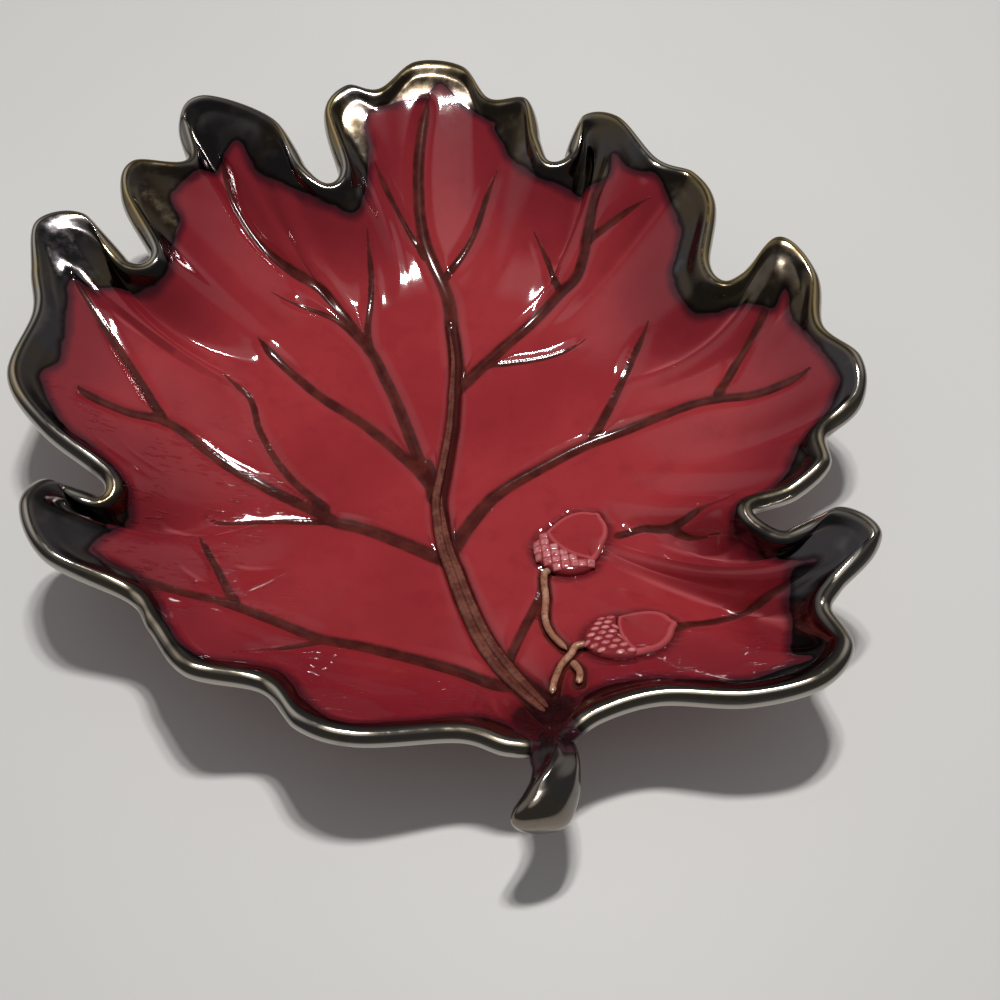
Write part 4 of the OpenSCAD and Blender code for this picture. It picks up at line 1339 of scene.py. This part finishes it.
def twig_stain(name, pale, mid, dark, fleck_share):
    """Stain rubbed over a ridge, with dark specks left in it."""
    look = Look(name)
    fleck = look.noise(650, 3, 0.65)
    cloud = look.noise(140, 3, 0.55)
    tone = look.mix(look.step(cloud, 0.38, 0.62), srgb(pale), srgb(mid))
    tone = look.cover(tone, look.step(fleck, 0.5, 0.64), fleck_share, srgb(dark))
    look.set(Base_Color=tone, Roughness=look.step(fleck, 0.3, 0.8, (0.10, 0.22)), Specular_IOR_Level=0.5,
             Normal=look.bump(look.plus(fleck, look.times(cloud, 0.5)), 0.00025, 0.5))
    return look.material


def bare_clay():
    look = Look("bare_clay")
    grain = look.noise(1400, 3, 0.6)
    cloud = look.noise(90, 2, 0.5)
    look.set(Base_Color=look.mix(look.step(look.plus(grain, look.times(cloud, 0.4)), 0.5, 0.9),
                                 srgb("#D8CDBB"), srgb("#B9A78E")),
             Roughness=look.step(cloud, 0.3, 0.7, (0.75, 0.9)),
             Normal=look.bump(grain, 0.0002, 0.6))
    return look.material


GLAZE = fired_glaze()
CUP_GLAZE = cup_glaze()
BROWN_STAIN = twig_stain("brown_stain", "#704033", "#57291F", "#30120E", 0.5)
TAN_STAIN = twig_stain("tan_stain", "#B58A72", "#96664F", "#5E3A2B", 0.7)
CLAY = bare_clay()

# The pieces, each on the one body and in place of its node

skin, seam_in, seam_out = build_skin()
skin_points = np.concatenate(skin.rings)
skin_faces = ring_faces(skin.rings)
skin_normals = point_normals(skin_points, skin_faces)
skin_crests = crest_values(skin_points, skin_faces, skin_normals)
inside_and_back = ((0, seam_in), (seam_out, len(skin.rings) - 1))
leaf = cut_piece(skin, "leaf_shell_glazed", inside_and_back, skin_normals, skin_crests)
wear(leaf, GLAZE, "leaf_shell")
rim = cut_piece(skin, "lustre_rim_rolled", ((seam_in, seam_out),), skin_normals, skin_crests)
wear(rim, GLAZE, "lustre_rim")
wear(stem(), GLAZE, "stem_handle")

RIDGES = ridge_tree()
SCALES = scale_tree()

# The two strands of the midrib: the share of the bed they run along, their reach at the start and
# at the end and how rounded the ends are, their way beside the bed's middle, how they swing out
# from it and drift along it, and their height, its fall and the power of their dive at the start
STRANDS = (
    dict(share=1.0, reach=(2.3, 1.0, 0.16), side=-0.9, swing=-1.2, swing_over=0.14, drift=1.1,
         high=-0.35, fall=0.35, dive=8),
    dict(share=0.62, reach=(2.1, 1.1, 0.24), side=0.8, swing=1.1, swing_over=0.22, drift=-1.3,
         high=-0.5, fall=0.4, dive=5),
)
STRAND_DIVE = 3.0
BED_STEPS = 14
BED_SKIP = 6


def strand(bed, share, reach, side, swing, swing_over, drift, high, fall, dive):
    line = bed[:int(len(bed) * share)]
    reaches, way = tapered(len(line), *reach)
    line = beside(line, side + swing * ease(way / swing_over) + drift * way)
    return line, high - fall * way - STRAND_DIVE * (1 - way) ** dive, reaches


bed = spline(on_blade(MIDRIB), BED_STEPS)[BED_SKIP:]
midrib = ridge_seed("midrib_lines", [strand(bed, **shape) for shape in STRANDS])
midrib = grown(RIDGES, midrib, "midrib_twin_ridge", Sides=14, Flatness=0.78, Knots=0.0003,
               Knot_scale=200.0, Look=BROWN_STAIN)
wear(midrib, BROWN_STAIN, "midrib_twig")

TWIG_REACH = 1.35
TWIG_END = 0.82
TWIG_NOSE = 0.05
TWIG_HIGH = 0.15


def twig_part(line):
    return line, TWIG_HIGH, tapered(len(line), TWIG_REACH, TWIG_REACH * TWIG_END, TWIG_NOSE)[0]


for name, lines in (("upper_acorn_twig", TWIG_LINES[:1]), ("lower_acorn_twig", TWIG_LINES[1:])):
    twig = ridge_seed(name + "_lines", [twig_part(line) for line in lines])
    twig = grown(RIDGES, twig, name + "_stained", Sides=12, Flatness=0.95, Knots=0.0004,
                 Knot_scale=420.0, Look=TAN_STAIN)
    wear(twig, TAN_STAIN, name)

# A dome is seen lower than the height of its solid
NUT_HIGH_SHARE = 0.62
CUP_HIGH_SHARE = 0.72

for name, acorn, scales in (("upper_acorn", UPPER_ACORN, UPPER_SCALES),
                            ("lower_acorn", LOWER_ACORN, LOWER_SCALES)):
    nut = Dome(acorn, "nut", NUT_PROFILE, acorn["nut"][2] * NUT_HIGH_SHARE)
    wear(nut.build(name + "_nut_glazed"), GLAZE, name + "_nut")
    cup = Dome(acorn, "cup", CUP_PROFILE, acorn["cup"][2] * CUP_HIGH_SHARE)
    cup = scaled_cup(cup, name + "_cup_scaled", **scales)
    wear(cup, CUP_GLAZE, name + "_cup")

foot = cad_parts["foot_ring"]
for i in range(len(foot.material_slots)):
    foot.material_slots[i].material = CLAY

# The table, the lamps and the camera

TABLE_HALF = 3.0


def table():
    mesh = bpy.data.meshes.new("table")
    corners = [(x * TABLE_HALF, y * TABLE_HALF, 0) for x, y in ((-1, -1), (1, -1), (1, 1), (-1, 1))]
    mesh.from_pydata(corners, [], [(0, 1, 2, 3)])
    look = Look("white_table")
    cloud = look.noise(3, 3, 0.5)
    grain = look.noise(260, 2, 0.5)
    look.set(Base_Color=look.mix(look.step(cloud, 0.3, 0.7), srgb("#CACAC8"), srgb("#CFCECB")),
             Roughness=0.5, Specular_IOR_Level=0.3, Normal=look.bump(grain, 0.0002, 0.15))
    mesh.materials.append(look.material)
    placed("table", mesh)


# What surfaces get from the room, what the camera sees of it, and what reflections show of it:
# how dark it is, and its lighter parts by bearing, width in degrees where full and where gone,
# and brightness
FILL = (0.25, 0.247, 0.25, 1.0)
BACKDROP = srgb("#CBCBC8")
ROOM_DARK = 0.09
ROOM_PATCHES = (
    ((0.0, 0.0, 1.0), 4, 18, 0.65),
    ((-0.65, 0.45, 0.6), 12, 38, 0.35),
    ((0.65, 0.5, 0.5), 8, 34, 0.25),
)


def room():
    """An even fill for the surfaces, and for reflections a dark room with lighter parts overhead."""
    world = bpy.data.worlds.new("room")
    bpy.context.scene.world = world
    world.use_nodes = True
    sky = Nodes(world.node_tree)
    where = sky.add("ShaderNodeTexCoord").outputs["Generated"]
    total = ROOM_DARK
    for bearing, full, none, bright in ROOM_PATCHES:
        toward = sky.add("ShaderNodeVectorMath", {0: where, 1: Vector(bearing).normalized()},
                         operation="DOT_PRODUCT").outputs["Value"]
        patch = sky.out("ShaderNodeMapRange", {"Value": toward, "To Max": bright,
                                               "From Min": math.cos(math.radians(none)),
                                               "From Max": math.cos(math.radians(full))},
                        interpolation_type="SMOOTHSTEP")
        total = sky.out("ShaderNodeMath", {0: total, 1: patch}, operation="ADD")
    shown = sky.out("ShaderNodeCombineXYZ", {0: total, 1: total, 2: total})
    ray = sky.add("ShaderNodeLightPath").outputs
    tone = FILL
    for kind, other in (("Is Glossy Ray", shown), ("Is Camera Ray", BACKDROP)):
        tone = sky.add("ShaderNodeMix", {"Factor": ray[kind], 6: tone, 7: other},
                       data_type="RGBA").outputs[2]
    sky.put(sky.tree.nodes["Background"].inputs["Color"], tone)


# The ceiling lamps, with their power in watts
LAMP_SPOTS = ((0.02, 0.18), (0.07, 0.21), (0.11, 0.17), (0.15, 0.20))
LAMP_HIGH = 1.10
LAMP_SIZE = 0.045
LAMP_WATTS = 2.57
LAMP_TONE = (1.0, 0.988, 0.972)


def lamps():
    for i, spot in enumerate(LAMP_SPOTS):
        data = bpy.data.lights.new(f"ceiling_lamp_{i + 1}", "AREA")
        data.shape = "DISK"
        data.size = LAMP_SIZE
        data.energy = LAMP_WATTS
        data.color = LAMP_TONE
        lamp = placed(data.name, data)
        lamp.location = (*spot, LAMP_HIGH)
        lamp.rotation_euler = (-lamp.location).to_track_quat("-Z", "Y").to_euler()


# The photo's camera, with its lens in millimetres
LENS = 43.456
SENSOR = 36.0
EYE = (-0.01451, -0.27207, 0.37988)
AHEAD = Vector((0.07439, 0.54101, -0.83772)).normalized()
RIGHT = Vector((0.99068, -0.13622, 0.0)).normalized()


def camera():
    data = bpy.data.cameras.new("camera")
    data.sensor_width = SENSOR
    data.lens = LENS
    data.clip_start = 0.01
    eye = placed("camera", data)
    turned = Matrix((RIGHT, RIGHT.cross(AHEAD), -AHEAD)).transposed()
    eye.matrix_world = Matrix.Translation(EYE) @ turned.to_4x4()
    bpy.context.scene.camera = eye


table()
room()
lamps()
camera()
bpy.context.scene.view_settings.view_transform = "Standard"
